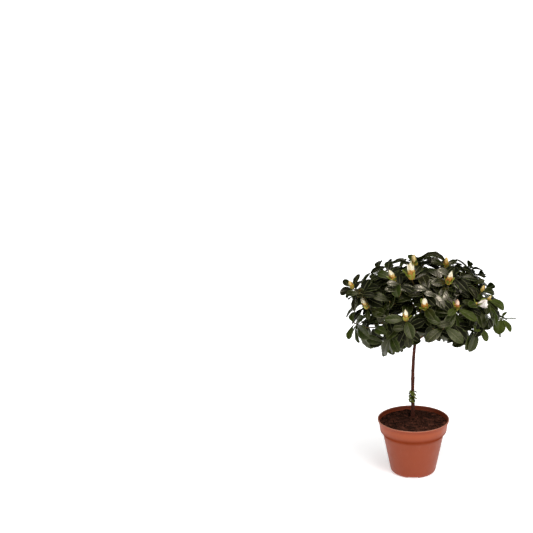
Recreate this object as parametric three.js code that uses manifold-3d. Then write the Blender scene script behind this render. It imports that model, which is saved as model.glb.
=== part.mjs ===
// A potted azalea standard: one bare, slightly bowed stem in a tapered plastic pot of soil, carrying a
// mushroom-shaped crown of leaf rosettes with flower buds at their hearts.
// Millimetres and degrees, +Z up, the origin at the centre of the pot's flat underside. -Y is the front.
import * as THREE from "three";
import { mergeVertices } from "three/addons/utils/BufferGeometryUtils.js";
import Module from "manifold-3d";

const wasm = await Module();
wasm.setup();

const GAP = 0.3; // clearance kept between pieces that touch on the plant
const SHORTEST_EDGE = 0.02; // shorter edges are left over where leaves and twigs fuse

// Pot: a thin moulded shell with a collar, standing on a pad and a ring that four drain slots cut
const POT_SIDES = 32;
const POT_HEIGHT = 94;
const RIM_RADIUS = 60;
const LIP_HEIGHT = 2.8;
const LIP_PROUD = 1.9;
const LIP_INSET = 0.4;
const COLLAR_HEIGHT = 20.6;
const COLLAR_FOOT_RADIUS = 55.8;
const SHOULDER_HEIGHT = 5.4;
const SHOULDER_RADIUS = 51;
const BASE_RADIUS = 37.6;
const BASE_ROUNDING = 3;
const WALL = 1.5;
const FLOOR = 3.8;
const PAD_RADIUS = 13;
const GROOVE_DEPTH = 1.8;
const RING_INNER_RADIUS = 25;
const DRAINS = 4;
const DRAIN_WIDTH = 17.5;
const DRAIN_HEIGHT = 2.6;
const DRAIN_HOLE_RADIUS = 3.6;

// Soil: filled to just under the rim, and heaped round the stem's foot, which is a little behind the middle
const SOIL_LEVEL = 87;
const SOIL_HEAP = 4.5;
const SOIL_HEAP_RADIUS = 34;
const SOIL_LUMPS = 1.3;
const FOOT = { x: -0.5, y: 13 };
const FOOT_PAD_RADIUS = 14;

// Stem: from the soil to its head in the crown, nearly upright at first and then leaning to the right
const FOOT_LEVEL = SOIL_LEVEL + SOIL_HEAP + GAP;
const HEAD = { x: 9.5, y: 8, z: 268 };
const BOW = -1.2;
const CURL = 4; // the stem leans mostly near its head
const STEM_RADIUS = 2.75;
const STEM_FOOT_RADIUS = 3;
const STEM_HEAD_RADIUS = 1.9;
const ROOT_FLARE = 1.2;
const ROOT_FLARE_HEIGHT = 5;
const ROOT_LOBES = 4;
const STEM_SIDES = 8;
const STEM_STEPS = 14;

// Crown: the shoots' tips lie on a dome over a rim that rises towards the front
const CROWN_X = 24;
const CROWN_Y = 6;
const CROWN_TOP = 362;
const CROWN_LEFT = 130;
const CROWN_RIGHT = 110;
const CROWN_FRONT = 98;
const CROWN_BACK = 102;
const RIM_LEVEL = 241;
const RIM_LIFT = 18;
const RIM_SLOPE = 9; // the rim is this much higher on the right, and lower on the left
const ARCH = { azimuth: 275, width: 17, lift: 28 }; // over the stem the rim arches up
const FULLNESS = 0.77; // below 1 squares the dome's shoulders
const UNDER_REACH = 0.6;
const HEART_LEVEL = 272;
const OUTER_SHOOTS = 46;
const SHOOT_SPACING = 28;
const OUTWARD_LEAN = 0.62;
const UNDER_SHOOTS = 12;
const GOLDEN_TURN = 137.508;
const SEED = 7369;

// Shoots whose buds show at the front: where they are on the dome, and the size of their buds
const FRONT_SHOOTS = [
  { azimuth: 180, tilt: 6, bud: 0.85 },
  { azimuth: 349, tilt: 10, bud: 0.8 },
  { azimuth: 245, tilt: 25, bud: 1.05 },
  { azimuth: 225, tilt: 32, bud: 0.85 },
  { azimuth: 295, tilt: 34, bud: 1.05 },
  { azimuth: 267, tilt: 69, bud: 1.1 },
  { azimuth: 253, tilt: 74, bud: 0.85 },
  { azimuth: 213, tilt: 64, bud: 0.85 },
  { azimuth: 295, tilt: 66, bud: 0.7 },
  { azimuth: 326, tilt: 68, bud: 1.25 },
  { azimuth: 339, tilt: 52, bud: 0.7 },
  { azimuth: 343, tilt: 65, bud: 0.7 },
];

// Two long shoots stand out of the dome, one low on the right and one high on the left
const LONG_SHOOTS = [
  { x: 153, y: -8, z: 274, lean: 1.5, bud: 0 },
  { x: -100, y: -42, z: 337, lean: 0.5, hang: 0, bud: 0.6 },
];

// Leaves, set round the end of each shoot and along its twig. They are fewer and wider than the real ones.
const LEAF_LENGTH = 48;
const LEAF_WIDTH_SHARE = 0.6;
const LEAF_THICKNESS = 1.1;
const LEAF_WIDEST = 0.56;
const LEAF_FOLD = 0.12;
const LEAF_SINK = 0.5;
const ROSETTE_LEAVES = 7;
const ROSETTE_DEPTH = 9;
const INNER_SPREAD = 62;
const OUTER_SPREAD = 102;
const RIM_HANG = 26;
const BEND = 34;
const TWIG_LEAVES = 3;
const TWIG_LEAF_SPREAD = 84;
const LEAF_TRIES = [
  { scale: 1, turn: 0, tuck: 0 },
  { scale: 0.95, turn: 22, tuck: 0 },
  { scale: 0.95, turn: -22, tuck: 0 },
  { scale: 0.95, turn: 0, tuck: -24 },
  { scale: 0.8, turn: 40, tuck: -10 },
  { scale: 0.8, turn: -40, tuck: -10 },
  { scale: 0.65, turn: 0, tuck: 0 },
];
const MOST_CROSSED = 0;

// Buds, on the shoots at the front and on some of those at the back
const BUD_LENGTH = 21;
const BUD_RADIUS = 5.4;
const BUD_SHARE = 0.6;
const BUD_LEVEL = 335; // at the back, only the shoots below this bear buds
const BUD_SIZES = [0.66, 1.05];

// Twigs and boughs
const TWIG_RADIUS = 1.5;
const TWIG_TIP_RADIUS = 2.1;
const TWIG_SIDES = 3;
const TWIG_STEPS = 2;
const STALK_RADIUS = 1.7;
const BOUGH_RADIUS = 2.1;
const BOUGH_TIP_RADIUS = 1.6;
const BOUGH_SIDES = 5;
const BOUGH_STEPS = 4;

// Masses of foliage: how far down the dome each ring of them is, where it starts, and where its boughs fork
const RINGS = [
  { name: "top", count: 1, tilt: 0, start: 0, fork: HEAD.z, forkStep: 0 },
  { name: "upper", count: 4, tilt: 46, start: 28, fork: 245, forkStep: 4 },
  { name: "lower", count: 7, tilt: 80, start: -8, fork: 226, forkStep: 3 },
];
const FORK_STRIDE = 3; // neighbours round a ring fork this many steps apart, so that they clear each other
const HUB_DEPTH = 0.66;
const BOUGH_END = 0.52;

// Shoot of small leaves low on the stem
const TUFT_LEVEL = 129;
const TUFT_LEAVES = 5;
const TUFT_LEAF_LENGTH = 10;
const TUFT_AXIS = { x: 0.12, y: -0.42, z: 0.9 };

const material = (color, roughness) => new THREE.MeshStandardMaterial({ color, roughness, metalness: 0 });
const MATERIALS = {
  pot: material("#a5543b", 0.45),
  soil: material("#35251b", 0.95),
  bark: material("#573528", 0.8),
  foliage: material("#2f3a22", 0.4),
};

const UP = new THREE.Vector3(0, 0, 1);
const radians = THREE.MathUtils.degToRad;
const vec = ({ x, y, z }) => new THREE.Vector3(x, y, z);
const lerp = THREE.MathUtils.lerp;

// A repeatable stream of numbers from 0 to 1
function seededRandom(seed) {
  let state = (seed * 7919) % 2147483647;
  return () => {
    state = (state * 48271) % 2147483647;
    return state / 2147483647;
  };
}

// A closed geometry as a solid, with its vertices merged and the faces that vanish at its poles dropped
function solidOf(geometry) {
  const bare = geometry.clone();
  bare.deleteAttribute("normal");
  bare.deleteAttribute("uv");
  const merged = mergeVertices(bare, 1e-4);
  const corners = merged.index.array;
  const faces = [];
  for (let i = 0; i < corners.length; i += 3) {
    const [a, b, c] = corners.slice(i, i + 3);
    if (a !== b && b !== c && c !== a) faces.push(a, b, c);
  }
  const vertProperties = merged.attributes.position.array;
  return new wasm.Manifold(new wasm.Mesh({ numProp: 3, vertProperties, triVerts: new Uint32Array(faces) }));
}

// A solid with its shortest edges closed up, which rounding could otherwise fold
function withoutShortEdges(solid) {
  const { numProp, numVert, vertProperties, triVerts } = solid.getMesh();
  const placeAt = (_, i) => new THREE.Vector3().fromArray(vertProperties, i * numProp);
  const places = Array.from({ length: numVert }, placeAt);
  let faces = Array.from({ length: triVerts.length / 3 }, (_, i) => [...triVerts.slice(i * 3, i * 3 + 3)]);
  const around = (corner) => new Set(faces.filter((face) => face.includes(corner)).flat());
  const closable = ([a, b]) => {
    if (places[a].distanceTo(places[b]) > SHORTEST_EDGE) return false;
    const aroundB = around(b);
    const shared = [...around(a)].filter((corner) => aroundB.has(corner));
    return shared.length === 4; // its ends, and the corners that face it on its two sides
  };
  for (;;) {
    const short = faces.flatMap(([a, b, c]) => [[a, b], [b, c], [c, a]]).find(closable);
    if (!short) break;
    const moved = faces.map((face) => face.map((corner) => (corner === short[1] ? short[0] : corner)));
    faces = moved.filter(([a, b, c]) => a !== b && b !== c && c !== a);
  }
  const geometry = new THREE.BufferGeometry().setFromPoints(places);
  return solidOf(geometry.setIndex(faces.flat()));
}

const largestBody = (solid) => solid.decompose().sort((a, b) => b.volume() - a.volume())[0];

// A solid as a named mesh
function meshOf(name, solid, look) {
  const { numProp, numVert, vertProperties, triVerts } = solid.getMesh();
  const position = new Float32Array(numVert * 3);
  for (let i = 0; i < numVert; i++) {
    position.set(vertProperties.subarray(i * numProp, i * numProp + 3), i * 3);
  }
  const geometry = new THREE.BufferGeometry();
  geometry.setAttribute("position", new THREE.BufferAttribute(position, 3));
  geometry.setIndex(new THREE.BufferAttribute(triVerts, 1));
  geometry.computeVertexNormals();
  const mesh = new THREE.Mesh(geometry, look);
  mesh.name = name;
  return mesh;
}

// Turned solid about Z from an outline of [radius, height] pairs
function turned(outline, sides) {
  const points = outline.map(([radius, height]) => new THREE.Vector2(radius, height));
  return new THREE.LatheGeometry(points, sides).rotateX(Math.PI / 2);
}

// Tapering limb along a curve: a cylinder whose rings are carried onto the curve
function limb(curve, radiusAt, sides, steps) {
  const geometry = new THREE.CylinderGeometry(1, 1, 1, sides, steps).rotateX(Math.PI / 2);
  const frames = curve.computeFrenetFrames(steps, false);
  const position = geometry.attributes.position;
  for (let i = 0; i < position.count; i++) {
    const step = Math.round((position.getZ(i) + 0.5) * steps);
    const share = step / steps;
    const [x, y] = [position.getX(i), position.getY(i)];
    const radius = radiusAt(share, Math.atan2(y, x));
    const point = curve.getPointAt(share);
    point.addScaledVector(frames.normals[step], x * radius);
    point.addScaledVector(frames.binormals[step], y * radius);
    position.setXYZ(i, point.x, point.y, point.z);
  }
  return solidOf(geometry);
}

// Height of the soil at a place
function soilLevel(x, y) {
  const away = Math.hypot(x - FOOT.x, y - FOOT.y);
  const fall = THREE.MathUtils.smoothstep(away, FOOT_PAD_RADIUS, FOOT_PAD_RADIUS + SOIL_HEAP_RADIUS);
  const lumps = Math.sin(x * 0.21 + 1.3) * Math.cos(y * 0.17 - 0.4) + 0.6 * Math.sin((x - y) * 0.11);
  return SOIL_LEVEL + SOIL_HEAP * (1 - fall) + SOIL_LUMPS * lumps * fall;
}

const COLLAR_FOOT = POT_HEIGHT - COLLAR_HEIGHT;
const SHOULDER_FOOT = COLLAR_FOOT - SHOULDER_HEIGHT;

function pot() {
  const lipFoot = POT_HEIGHT - LIP_HEIGHT;
  const underside = [
    [0, 0],
    [PAD_RADIUS, 0],
    [PAD_RADIUS + GROOVE_DEPTH, GROOVE_DEPTH],
    [RING_INNER_RADIUS - GROOVE_DEPTH, GROOVE_DEPTH],
    [RING_INNER_RADIUS, 0],
    [BASE_RADIUS - BASE_ROUNDING, 0],
  ];
  const outside = [
    [BASE_RADIUS - BASE_ROUNDING * 0.25, BASE_ROUNDING * 0.35],
    [BASE_RADIUS + 0.4, BASE_ROUNDING * 1.2],
    [SHOULDER_RADIUS, SHOULDER_FOOT],
    [COLLAR_FOOT_RADIUS, COLLAR_FOOT],
    [RIM_RADIUS - LIP_PROUD, lipFoot - 0.5],
    [RIM_RADIUS, lipFoot],
    [RIM_RADIUS, POT_HEIGHT],
  ];
  const inside = [
    [RIM_RADIUS - LIP_INSET - WALL, POT_HEIGHT],
    [COLLAR_FOOT_RADIUS - WALL, COLLAR_FOOT + 1],
    [SHOULDER_RADIUS - WALL, SHOULDER_FOOT + 1],
    [BASE_RADIUS - WALL, FLOOR],
    [0, FLOOR],
  ];
  let shell = solidOf(turned([...underside, ...outside, ...inside], POT_SIDES));
  const slotLength = BASE_RADIUS + 4 - RING_INNER_RADIUS;
  for (let i = 0; i < DRAINS; i++) {
    const slot = new THREE.BoxGeometry(slotLength, DRAIN_WIDTH, DRAIN_HEIGHT * 2);
    slot.translate(RING_INNER_RADIUS + slotLength / 2 - 1, 0, 0);
    const hole = new THREE.CylinderGeometry(DRAIN_HOLE_RADIUS, DRAIN_HOLE_RADIUS, FLOOR * 3, 10);
    hole.rotateX(Math.PI / 2).translate(RING_INNER_RADIUS + DRAIN_HOLE_RADIUS + 1, 0, 0);
    const turn = (i / DRAINS) * Math.PI * 2 - Math.PI / 2;
    for (const cutter of [slot, hole]) shell = shell.subtract(solidOf(cutter.rotateZ(turn)));
  }
  return meshOf("pot", shell, MATERIALS.pot);
}

function soil() {
  const clear = WALL + GAP;
  const upTheCollar = (SOIL_LEVEL - COLLAR_FOOT - 1) / (COLLAR_HEIGHT - 1);
  const wallRadius = lerp(COLLAR_FOOT_RADIUS, RIM_RADIUS - LIP_INSET, upTheCollar) - clear;
  const rings = [0.78, 0.55, 0.3, 0].map((share) => [wallRadius * share, SOIL_LEVEL]);
  const outline = [
    [0, FLOOR + GAP],
    [BASE_RADIUS - clear, FLOOR + GAP],
    [SHOULDER_RADIUS - clear, SHOULDER_FOOT + 1],
    [COLLAR_FOOT_RADIUS - clear, COLLAR_FOOT + 1],
    [wallRadius, SOIL_LEVEL],
    ...rings,
  ];
  const geometry = turned(outline, POT_SIDES);
  const position = geometry.attributes.position;
  for (let i = 0; i < position.count; i++) {
    const inTop = position.getZ(i) > SOIL_LEVEL - 0.01;
    const [x, y] = [position.getX(i), position.getY(i)];
    if (inTop && Math.hypot(x, y) < wallRadius - 1) position.setZ(i, soilLevel(x, y));
  }
  return meshOf("soil", solidOf(geometry), MATERIALS.soil);
}

// The stem's centre line
const stemCurve = new THREE.CatmullRomCurve3(
  [0, 0.2, 0.4, 0.6, 0.8, 1].map((share) => {
    const place = vec({ ...FOOT, z: FOOT_LEVEL }).lerp(vec(HEAD), share);
    place.x = lerp(FOOT.x, HEAD.x, share ** CURL) + BOW * Math.sin(Math.PI * share);
    return place;
  }),
);
const STEM_LENGTH = stemCurve.getLength();

function stemRadius(share, around) {
  const lobes = 1 + 0.3 * Math.cos(ROOT_LOBES * around);
  const flare = ROOT_FLARE * Math.exp((-share * STEM_LENGTH) / ROOT_FLARE_HEIGHT) * lobes;
  const lower = lerp(STEM_FOOT_RADIUS, STEM_RADIUS, Math.min(1, share * 3));
  const upper = lerp(STEM_RADIUS, STEM_HEAD_RADIUS, Math.max(0, share * 1.5 - 0.5));
  return (share < 1 / 3 ? lower : upper) + flare;
}

// A stem whose foot is cut level, optionally grown on all sides
function stem(extra) {
  const radiusAt = (share, around) => stemRadius(share, around) + extra;
  const grown = limb(stemCurve, radiusAt, STEM_SIDES, STEM_STEPS);
  return grown.trimByPlane([0, 0, 1], FOOT_LEVEL - extra);
}

// A place on the stem's centre line at a height
function stemAt(height) {
  const share = (height - FOOT_LEVEL) / (HEAD.z - FOOT_LEVEL);
  return stemCurve.getPoint(THREE.MathUtils.clamp(share, 0, 1));
}

const HEART = vec({ ...HEAD, z: HEART_LEVEL });

// Level of the crown's rim in a direction round it
function rimLevel(azimuth) {
  const front = Math.max(0, -Math.sin(radians(azimuth)));
  const offArch = ((azimuth - ARCH.azimuth + 540) % 360) - 180;
  const arch = ARCH.lift * Math.exp(-((offArch / ARCH.width) ** 2));
  return RIM_LEVEL + RIM_LIFT * front ** 2 + RIM_SLOPE * Math.cos(radians(azimuth)) + arch;
}

// A place on the crown's dome: tilt 0 is its top, and 90 its rim
function domePoint(azimuth, tilt, reach = 1) {
  const [cos, sin] = [Math.cos(radians(azimuth)), Math.sin(radians(azimuth))];
  const out = Math.sin(radians(tilt)) ** FULLNESS * reach;
  const rise = Math.cos(radians(tilt)) ** FULLNESS * (0.5 + 0.5 * reach);
  const rim = rimLevel(azimuth);
  const x = CROWN_X + out * cos * (cos > 0 ? CROWN_RIGHT : CROWN_LEFT);
  const y = CROWN_Y + out * sin * (sin > 0 ? CROWN_BACK : CROWN_FRONT);
  return new THREE.Vector3(x, y, lerp(rim, CROWN_TOP, rise));
}

// One shoot: the place of its tip, its own axis, the size of its bud and its own random numbers
function shootAt(tip, random, { lean = OUTWARD_LEAN, hang = RIM_HANG, bud = 0 }) {
  const [jitterX, jitterY] = [random() - 0.5, random() - 0.5];
  const axis = new THREE.Vector3(tip.x - CROWN_X, tip.y - CROWN_Y, 0).multiplyScalar(lean / CROWN_RIGHT);
  axis.add(new THREE.Vector3(jitterX * 0.4, jitterY * 0.4, 1)).normalize();
  return { tip, axis, hang, bud, random };
}

// All the crown's shoots: those named above, those spread over the rest of the dome, and those under it
function shoots() {
  const found = [];
  let stream = SEED;
  const nextRandom = () => seededRandom((stream += 37));
  const hangAt = (tilt) => RIM_HANG * THREE.MathUtils.smoothstep(tilt, 62, 90);
  for (const long of LONG_SHOOTS) found.push(shootAt(vec(long), nextRandom(), long));
  for (const { azimuth, tilt, bud } of FRONT_SHOOTS) {
    found.push(shootAt(domePoint(azimuth, tilt), nextRandom(), { hang: hangAt(tilt), bud }));
  }
  const named = found.length;
  for (let k = 0; k < OUTER_SHOOTS; k++) {
    const random = nextRandom();
    const down = Math.min(1, (k + 0.25 + 0.5 * random()) / OUTER_SHOOTS);
    const tilt = THREE.MathUtils.radToDeg(Math.acos(1 - down));
    const tip = domePoint(k * GOLDEN_TURN + 18 * (random() - 0.5), tilt, lerp(0.93, 1.07, random()));
    const [chance, size] = [random(), random()];
    if (found.slice(0, named).some((other) => other.tip.distanceTo(tip) < SHOOT_SPACING)) continue;
    const budded = tip.y > CROWN_Y && tip.z < BUD_LEVEL && chance < BUD_SHARE;
    const bud = budded ? lerp(...BUD_SIZES, size) : 0;
    found.push(shootAt(tip, random, { hang: hangAt(tilt), bud }));
  }
  for (let k = 0; k < UNDER_SHOOTS; k++) {
    const random = nextRandom();
    const azimuth = ((k + 0.3 * random()) / UNDER_SHOOTS) * 360;
    const tip = domePoint(azimuth, 90, UNDER_REACH + 0.2 * (random() - 0.5));
    tip.z -= 8 * random();
    found.push(shootAt(tip, random, {}));
  }
  return found;
}

// The masses, each with its hub and its share of the crown's space: what is nearer its hub than any other
function masses() {
  const found = [];
  for (const ring of RINGS) {
    for (let i = 0; i < ring.count; i++) {
      const azimuth = ring.start + (i / ring.count) * 360;
      const hub = HEART.clone().lerp(domePoint(azimuth, ring.tilt), HUB_DEPTH);
      const label = ring.count > 1 ? `${ring.name}_${i + 1}` : ring.name;
      const fork = ring.fork + ring.forkStep * ((i * FORK_STRIDE) % ring.count);
      found.push({ label, hub, fork, shoots: [] });
    }
  }
  return found;
}

// Least distance from a place to the borders of a mass's space, below zero outside it
function insideBy(mass, all, place) {
  let least = Infinity;
  for (const other of all) {
    if (other === mass) continue;
    const across = new THREE.Vector3().subVectors(mass.hub, other.hub);
    const middle = new THREE.Vector3().addVectors(mass.hub, other.hub).multiplyScalar(0.5);
    least = Math.min(least, across.normalize().dot(place.clone().sub(middle)));
  }
  return least;
}

// Centre line of a bough, from the stem's fork up and out to where its mass begins
function boughCurve(mass) {
  const start = stemAt(mass.fork);
  const end = start.clone().lerp(mass.hub, BOUGH_END);
  const out = new THREE.Vector3().subVectors(end, start);
  const rise = out.clone().multiplyScalar(0.4).addScaledVector(UP, 0.2 * out.length());
  return new THREE.QuadraticBezierCurve3(start, start.clone().add(rise), end);
}

function bough(mass, extra) {
  const radiusAt = (share) => lerp(BOUGH_RADIUS, BOUGH_TIP_RADIUS, share) + extra;
  return limb(boughCurve(mass), radiusAt, BOUGH_SIDES, BOUGH_STEPS);
}

// Where a mass's own stalk begins, clear of its bough's tip or the stem's, and the way it sets off
function stalkStart(mass) {
  const curve = mass.label === "top" ? stemCurve : boughCurve(mass);
  const along = curve.getTangentAt(1);
  return { start: curve.getPointAt(1).addScaledVector(along, GAP), along };
}

// A leaf's direction once it has bent by an angle, from a turn round its twig and a spread away from it
function leafHeading(axis, turn, spread) {
  const side = new THREE.Vector3().crossVectors(axis, UP);
  if (side.lengthSq() < 1e-6) side.set(1, 0, 0);
  const radial = side.normalize().applyAxisAngle(axis, radians(turn));
  return (bend) => {
    const angle = radians(spread + bend);
    return axis.clone().multiplyScalar(Math.cos(angle)).addScaledVector(radial, Math.sin(angle));
  };
}

// One leaf: an octahedron drawn out into an arching blade with raised edges, its root sunk past its twig
function leafSolid(root, heading, length, bend) {
  const halfWidth = (length * LEAF_WIDTH_SHARE) / 2;
  const sunk = root.clone().addScaledVector(heading(0), -LEAF_SINK);
  const middle = root.clone().addScaledVector(heading(bend * 0.25), length * LEAF_WIDEST);
  const tip = middle.clone().addScaledVector(heading(bend * 0.8), length * (1 - LEAF_WIDEST));
  const upper = heading(bend * 0.5 - 90);
  const across = new THREE.Vector3().crossVectors(heading(bend * 0.5), upper);
  const edge = middle.clone().addScaledVector(upper, halfWidth * LEAF_FOLD);
  const geometry = new THREE.OctahedronGeometry(1);
  const position = geometry.attributes.position;
  for (let i = 0; i < position.count; i++) {
    const [x, y, z] = [position.getX(i), position.getY(i), position.getZ(i)].map(Math.round);
    const place = middle.clone().addScaledVector(upper, (z * LEAF_THICKNESS) / 2);
    if (x) place.copy(edge).addScaledVector(across, x * halfWidth);
    if (y) place.copy(y > 0 ? tip : sunk);
    position.setXYZ(i, place.x, place.y, place.z);
  }
  const outline = [middle, tip, ...[-1, 1].map((x) => edge.clone().addScaledVector(across, x * halfWidth))];
  return { solid: solidOf(geometry), outline };
}

// A twig between two places, arriving along an axis
function twigCurve(from, to, axis) {
  const reach = from.distanceTo(to);
  const bendPoint = to.clone().addScaledVector(axis, -0.45 * reach);
  bendPoint.lerp(from, 0.25);
  return new THREE.QuadraticBezierCurve3(from, bendPoint, to);
}

function twigSolid(curve, startRadius) {
  return limb(curve, (share) => lerp(startRadius, TWIG_TIP_RADIUS, share), TWIG_SIDES, TWIG_STEPS);
}

// A bud, drawn out along its shoot's axis
function budSolid(tip, axis, scale) {
  const [length, radius] = [BUD_LENGTH * scale, BUD_RADIUS * scale];
  const outline = [
    [0, -4],
    [radius, length * 0.38],
    [radius * 0.66, length * 0.78],
    [0, length],
  ];
  const geometry = turned(outline, 5);
  geometry.applyQuaternion(new THREE.Quaternion().setFromUnitVectors(UP, axis));
  return solidOf(geometry.translate(tip.x, tip.y, tip.z));
}

// How a shoot's leaves are set: first the rosette, from its heart outwards, and then those down its twig
function leafPlan(shoot) {
  const { random } = shoot;
  const plan = [];
  for (let j = 0; j < ROSETTE_LEAVES; j++) {
    const share = j / (ROSETTE_LEAVES - 1);
    const [a, b, c, d] = [random(), random(), random(), random()].map((value) => value * 2 - 1);
    plan.push({
      back: 1 + share * ROSETTE_DEPTH,
      turn: j * GOLDEN_TURN + 14 * a,
      spread: lerp(INNER_SPREAD, OUTER_SPREAD, share ** 0.7) + shoot.hang * share + 9 * b,
      length: LEAF_LENGTH * lerp(0.66, 1, share ** 0.6) * (1 + 0.12 * c),
      bend: BEND * (1 + 0.35 * d),
    });
  }
  for (let j = 0; j < TWIG_LEAVES; j++) {
    const [a, b, c] = [random(), random(), random()].map((value) => value * 2 - 1);
    plan.push({
      back: ROSETTE_DEPTH + 5 + 9 * j,
      turn: (ROSETTE_LEAVES + j) * GOLDEN_TURN + 20 * a,
      spread: TWIG_LEAF_SPREAD + shoot.hang + 12 * b,
      length: LEAF_LENGTH * 0.86 * (1 + 0.12 * c),
      bend: BEND,
    });
  }
  return plan;
}

// One mass of foliage: a stalk, a twig to each shoot, their leaves and their buds, fused
function foliage(mass, all, limbs) {
  const { start, along } = stalkStart(mass);
  const meets = (solid, others) => others.filter((other) => !solid.intersect(other).isEmpty()).length;
  const stalkEnd = start.clone().lerp(mass.hub, 0.7);
  const stalk = new THREE.QuadraticBezierCurve3(start, start.clone().addScaledVector(along, 6), stalkEnd);
  const parts = [limb(stalk, () => STALK_RADIUS, 4, TWIG_STEPS)];
  const blades = [];
  for (const shoot of mass.shoots) {
    const twig = twigCurve(stalk.getPointAt(0.75), shoot.tip, shoot.axis);
    const grown = [twigSolid(twig, TWIG_RADIUS)];
    const roomForBud = insideBy(mass, all, shoot.tip) > BUD_RADIUS * shoot.bud + GAP;
    if (shoot.bud && roomForBud) grown.push(budSolid(shoot.tip, shoot.axis, shoot.bud));
    if (grown.some((solid) => meets(solid, limbs))) continue;
    parts.push(...grown);
    const twigLength = twig.getLength();
    for (const leaf of leafPlan(shoot)) {
      const share = 1 - leaf.back / twigLength;
      if (share < 0.2) continue;
      const root = twig.getPointAt(share);
      const along = twig.getTangentAt(share);
      let best = { crossed: MOST_CROSSED + 1 };
      for (const { scale, turn, tuck } of LEAF_TRIES) {
        const heading = leafHeading(along, leaf.turn + turn, leaf.spread + tuck);
        const made = leafSolid(root, heading, leaf.length * scale, leaf.bend);
        const inside = made.outline.every((place) => insideBy(mass, all, place) > GAP + LEAF_THICKNESS);
        if (!inside || meets(made.solid, limbs)) continue;
        const crossed = meets(made.solid, blades);
        if (crossed < best.crossed) best = { crossed, solid: made.solid };
        if (crossed === 0) break;
      }
      if (best.solid) blades.push(best.solid);
    }
  }
  const fused = withoutShortEdges(wasm.Manifold.union([...parts, ...blades]));
  return meshOf(`foliage_${mass.label}`, largestBody(fused), MATERIALS.foliage);
}

// The small leafy shoot low on the stem's front
function tuft() {
  const place = stemAt(TUFT_LEVEL);
  const axis = vec(TUFT_AXIS).normalize();
  const out = new THREE.Vector3(axis.x, axis.y, 0).normalize();
  const root = place.addScaledVector(out, STEM_RADIUS + GAP + 1.6);
  const heart = new THREE.IcosahedronGeometry(1.5).translate(root.x, root.y, root.z);
  const parts = [solidOf(heart)];
  for (let j = 0; j < TUFT_LEAVES; j++) {
    const heading = leafHeading(axis, j * GOLDEN_TURN, lerp(12, 62, j / (TUFT_LEAVES - 1)));
    parts.push(leafSolid(root, heading, TUFT_LEAF_LENGTH, BEND).solid);
  }
  const fused = wasm.Manifold.union(parts).subtract(stem(GAP));
  return meshOf("foliage_tuft", largestBody(fused), MATERIALS.foliage);
}

function plant() {
  const group = new THREE.Group();
  const crown = masses();
  for (const shoot of shoots()) {
    const depths = crown.map((mass) => insideBy(mass, crown, shoot.tip));
    crown[depths.indexOf(Math.max(...depths))].shoots.push(shoot);
  }
  group.add(pot(), soil(), meshOf("stem", stem(0), MATERIALS.bark));
  const limbs = [stem(GAP)]; // grown by the gap, so that what clears them clears the limbs by that much
  for (const mass of crown.slice(1)) {
    const outer = largestBody(wasm.Manifold.difference([bough(mass, 0), ...limbs]));
    group.add(meshOf(`bough_${mass.label}`, outer, MATERIALS.bark));
    limbs.push(bough(mass, GAP));
  }
  for (const mass of crown) group.add(foliage(mass, crown, limbs));
  group.add(tuft());
  return group;
}

export default plant();
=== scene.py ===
# A potted azalea standard dressed for its looks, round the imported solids: a moulded pot of peat, a stem
# and boughs in bark, and a crown of twigs, leaves and buds that grows by the rule the solids follow.
# Sizes are in millimetres and degrees, and are made metres as each mesh is built. Only the studio's are
# in metres. +Z is up and -Y the front.
import itertools
import math

import bpy
from mathutils import Matrix, Vector, noise
from mathutils.bvhtree import BVHTree


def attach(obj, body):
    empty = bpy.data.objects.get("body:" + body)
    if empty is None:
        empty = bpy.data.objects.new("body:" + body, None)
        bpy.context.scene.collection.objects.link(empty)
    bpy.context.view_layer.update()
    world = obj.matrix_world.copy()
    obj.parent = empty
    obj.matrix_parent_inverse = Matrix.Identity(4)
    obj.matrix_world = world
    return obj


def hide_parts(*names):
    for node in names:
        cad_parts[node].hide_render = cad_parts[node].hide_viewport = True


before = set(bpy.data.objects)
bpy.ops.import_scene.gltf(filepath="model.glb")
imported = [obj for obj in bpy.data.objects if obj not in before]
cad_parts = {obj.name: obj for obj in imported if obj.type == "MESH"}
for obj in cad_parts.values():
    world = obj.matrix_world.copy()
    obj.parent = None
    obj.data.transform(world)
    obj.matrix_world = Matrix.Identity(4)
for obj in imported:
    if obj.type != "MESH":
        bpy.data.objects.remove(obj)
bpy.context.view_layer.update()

MM = 0.001
UP = Vector((0, 0, 1))

# Camera: a long lens that sees the middle of the pot's rim at one pixel of the photograph
PHOTO_WIDTH = 533
RIM_PIXEL = (413.35, 418.3)
PIXELS_PER_MM = 0.5881
FIELD_OF_VIEW = 20
ELEVATION = 22
ROLL = -1.26

# Pot
POT_SIDES = 128
POT_HEIGHT = 94
RIM_RADIUS = 60
LIP_HEIGHT = 2.8
LIP_PROUD = 1.9
LIP_INSET = 0.4
COLLAR_HEIGHT = 20.6
COLLAR_FOOT = POT_HEIGHT - COLLAR_HEIGHT
COLLAR_FOOT_RADIUS = 55.8
SHOULDER_HEIGHT = 5.4
SHOULDER_FOOT = COLLAR_FOOT - SHOULDER_HEIGHT
SHOULDER_RADIUS = 51
BASE_RADIUS = 37.6
BASE_ROUNDING = 3
WALL = 1.5
FLOOR = 3.8
PAD_RADIUS = 13
GROOVE_DEPTH = 1.8
RING_INNER_RADIUS = 25
DRAINS = 4
DRAIN_WIDTH = 17.5
DRAIN_HEIGHT = 2.6
DRAIN_ROUNDING = 1.2
DRAIN_HOLE_RADIUS = 3.6
# The colour of the pot at a few heights, with light and shade painted in: painted shade in the step under
# the collar and in the band just under the lip, a painted highlight on the collar, and the palest, a
# painted highlight, on the lip
POT_PAINTED_LIGHT_BANDS = [
    (64, "8a3e23"),
    (67.5, "7e361d"),
    (70.5, "6a2810"),
    (73.5, "78331d"),
    (78, "944528"),
    (84, "a04d2c"),
    (89, "974528"),
    (91.4, "82371e"),
    (93.2, "a2543a"),
    (94, "c98f78"),
]
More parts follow.
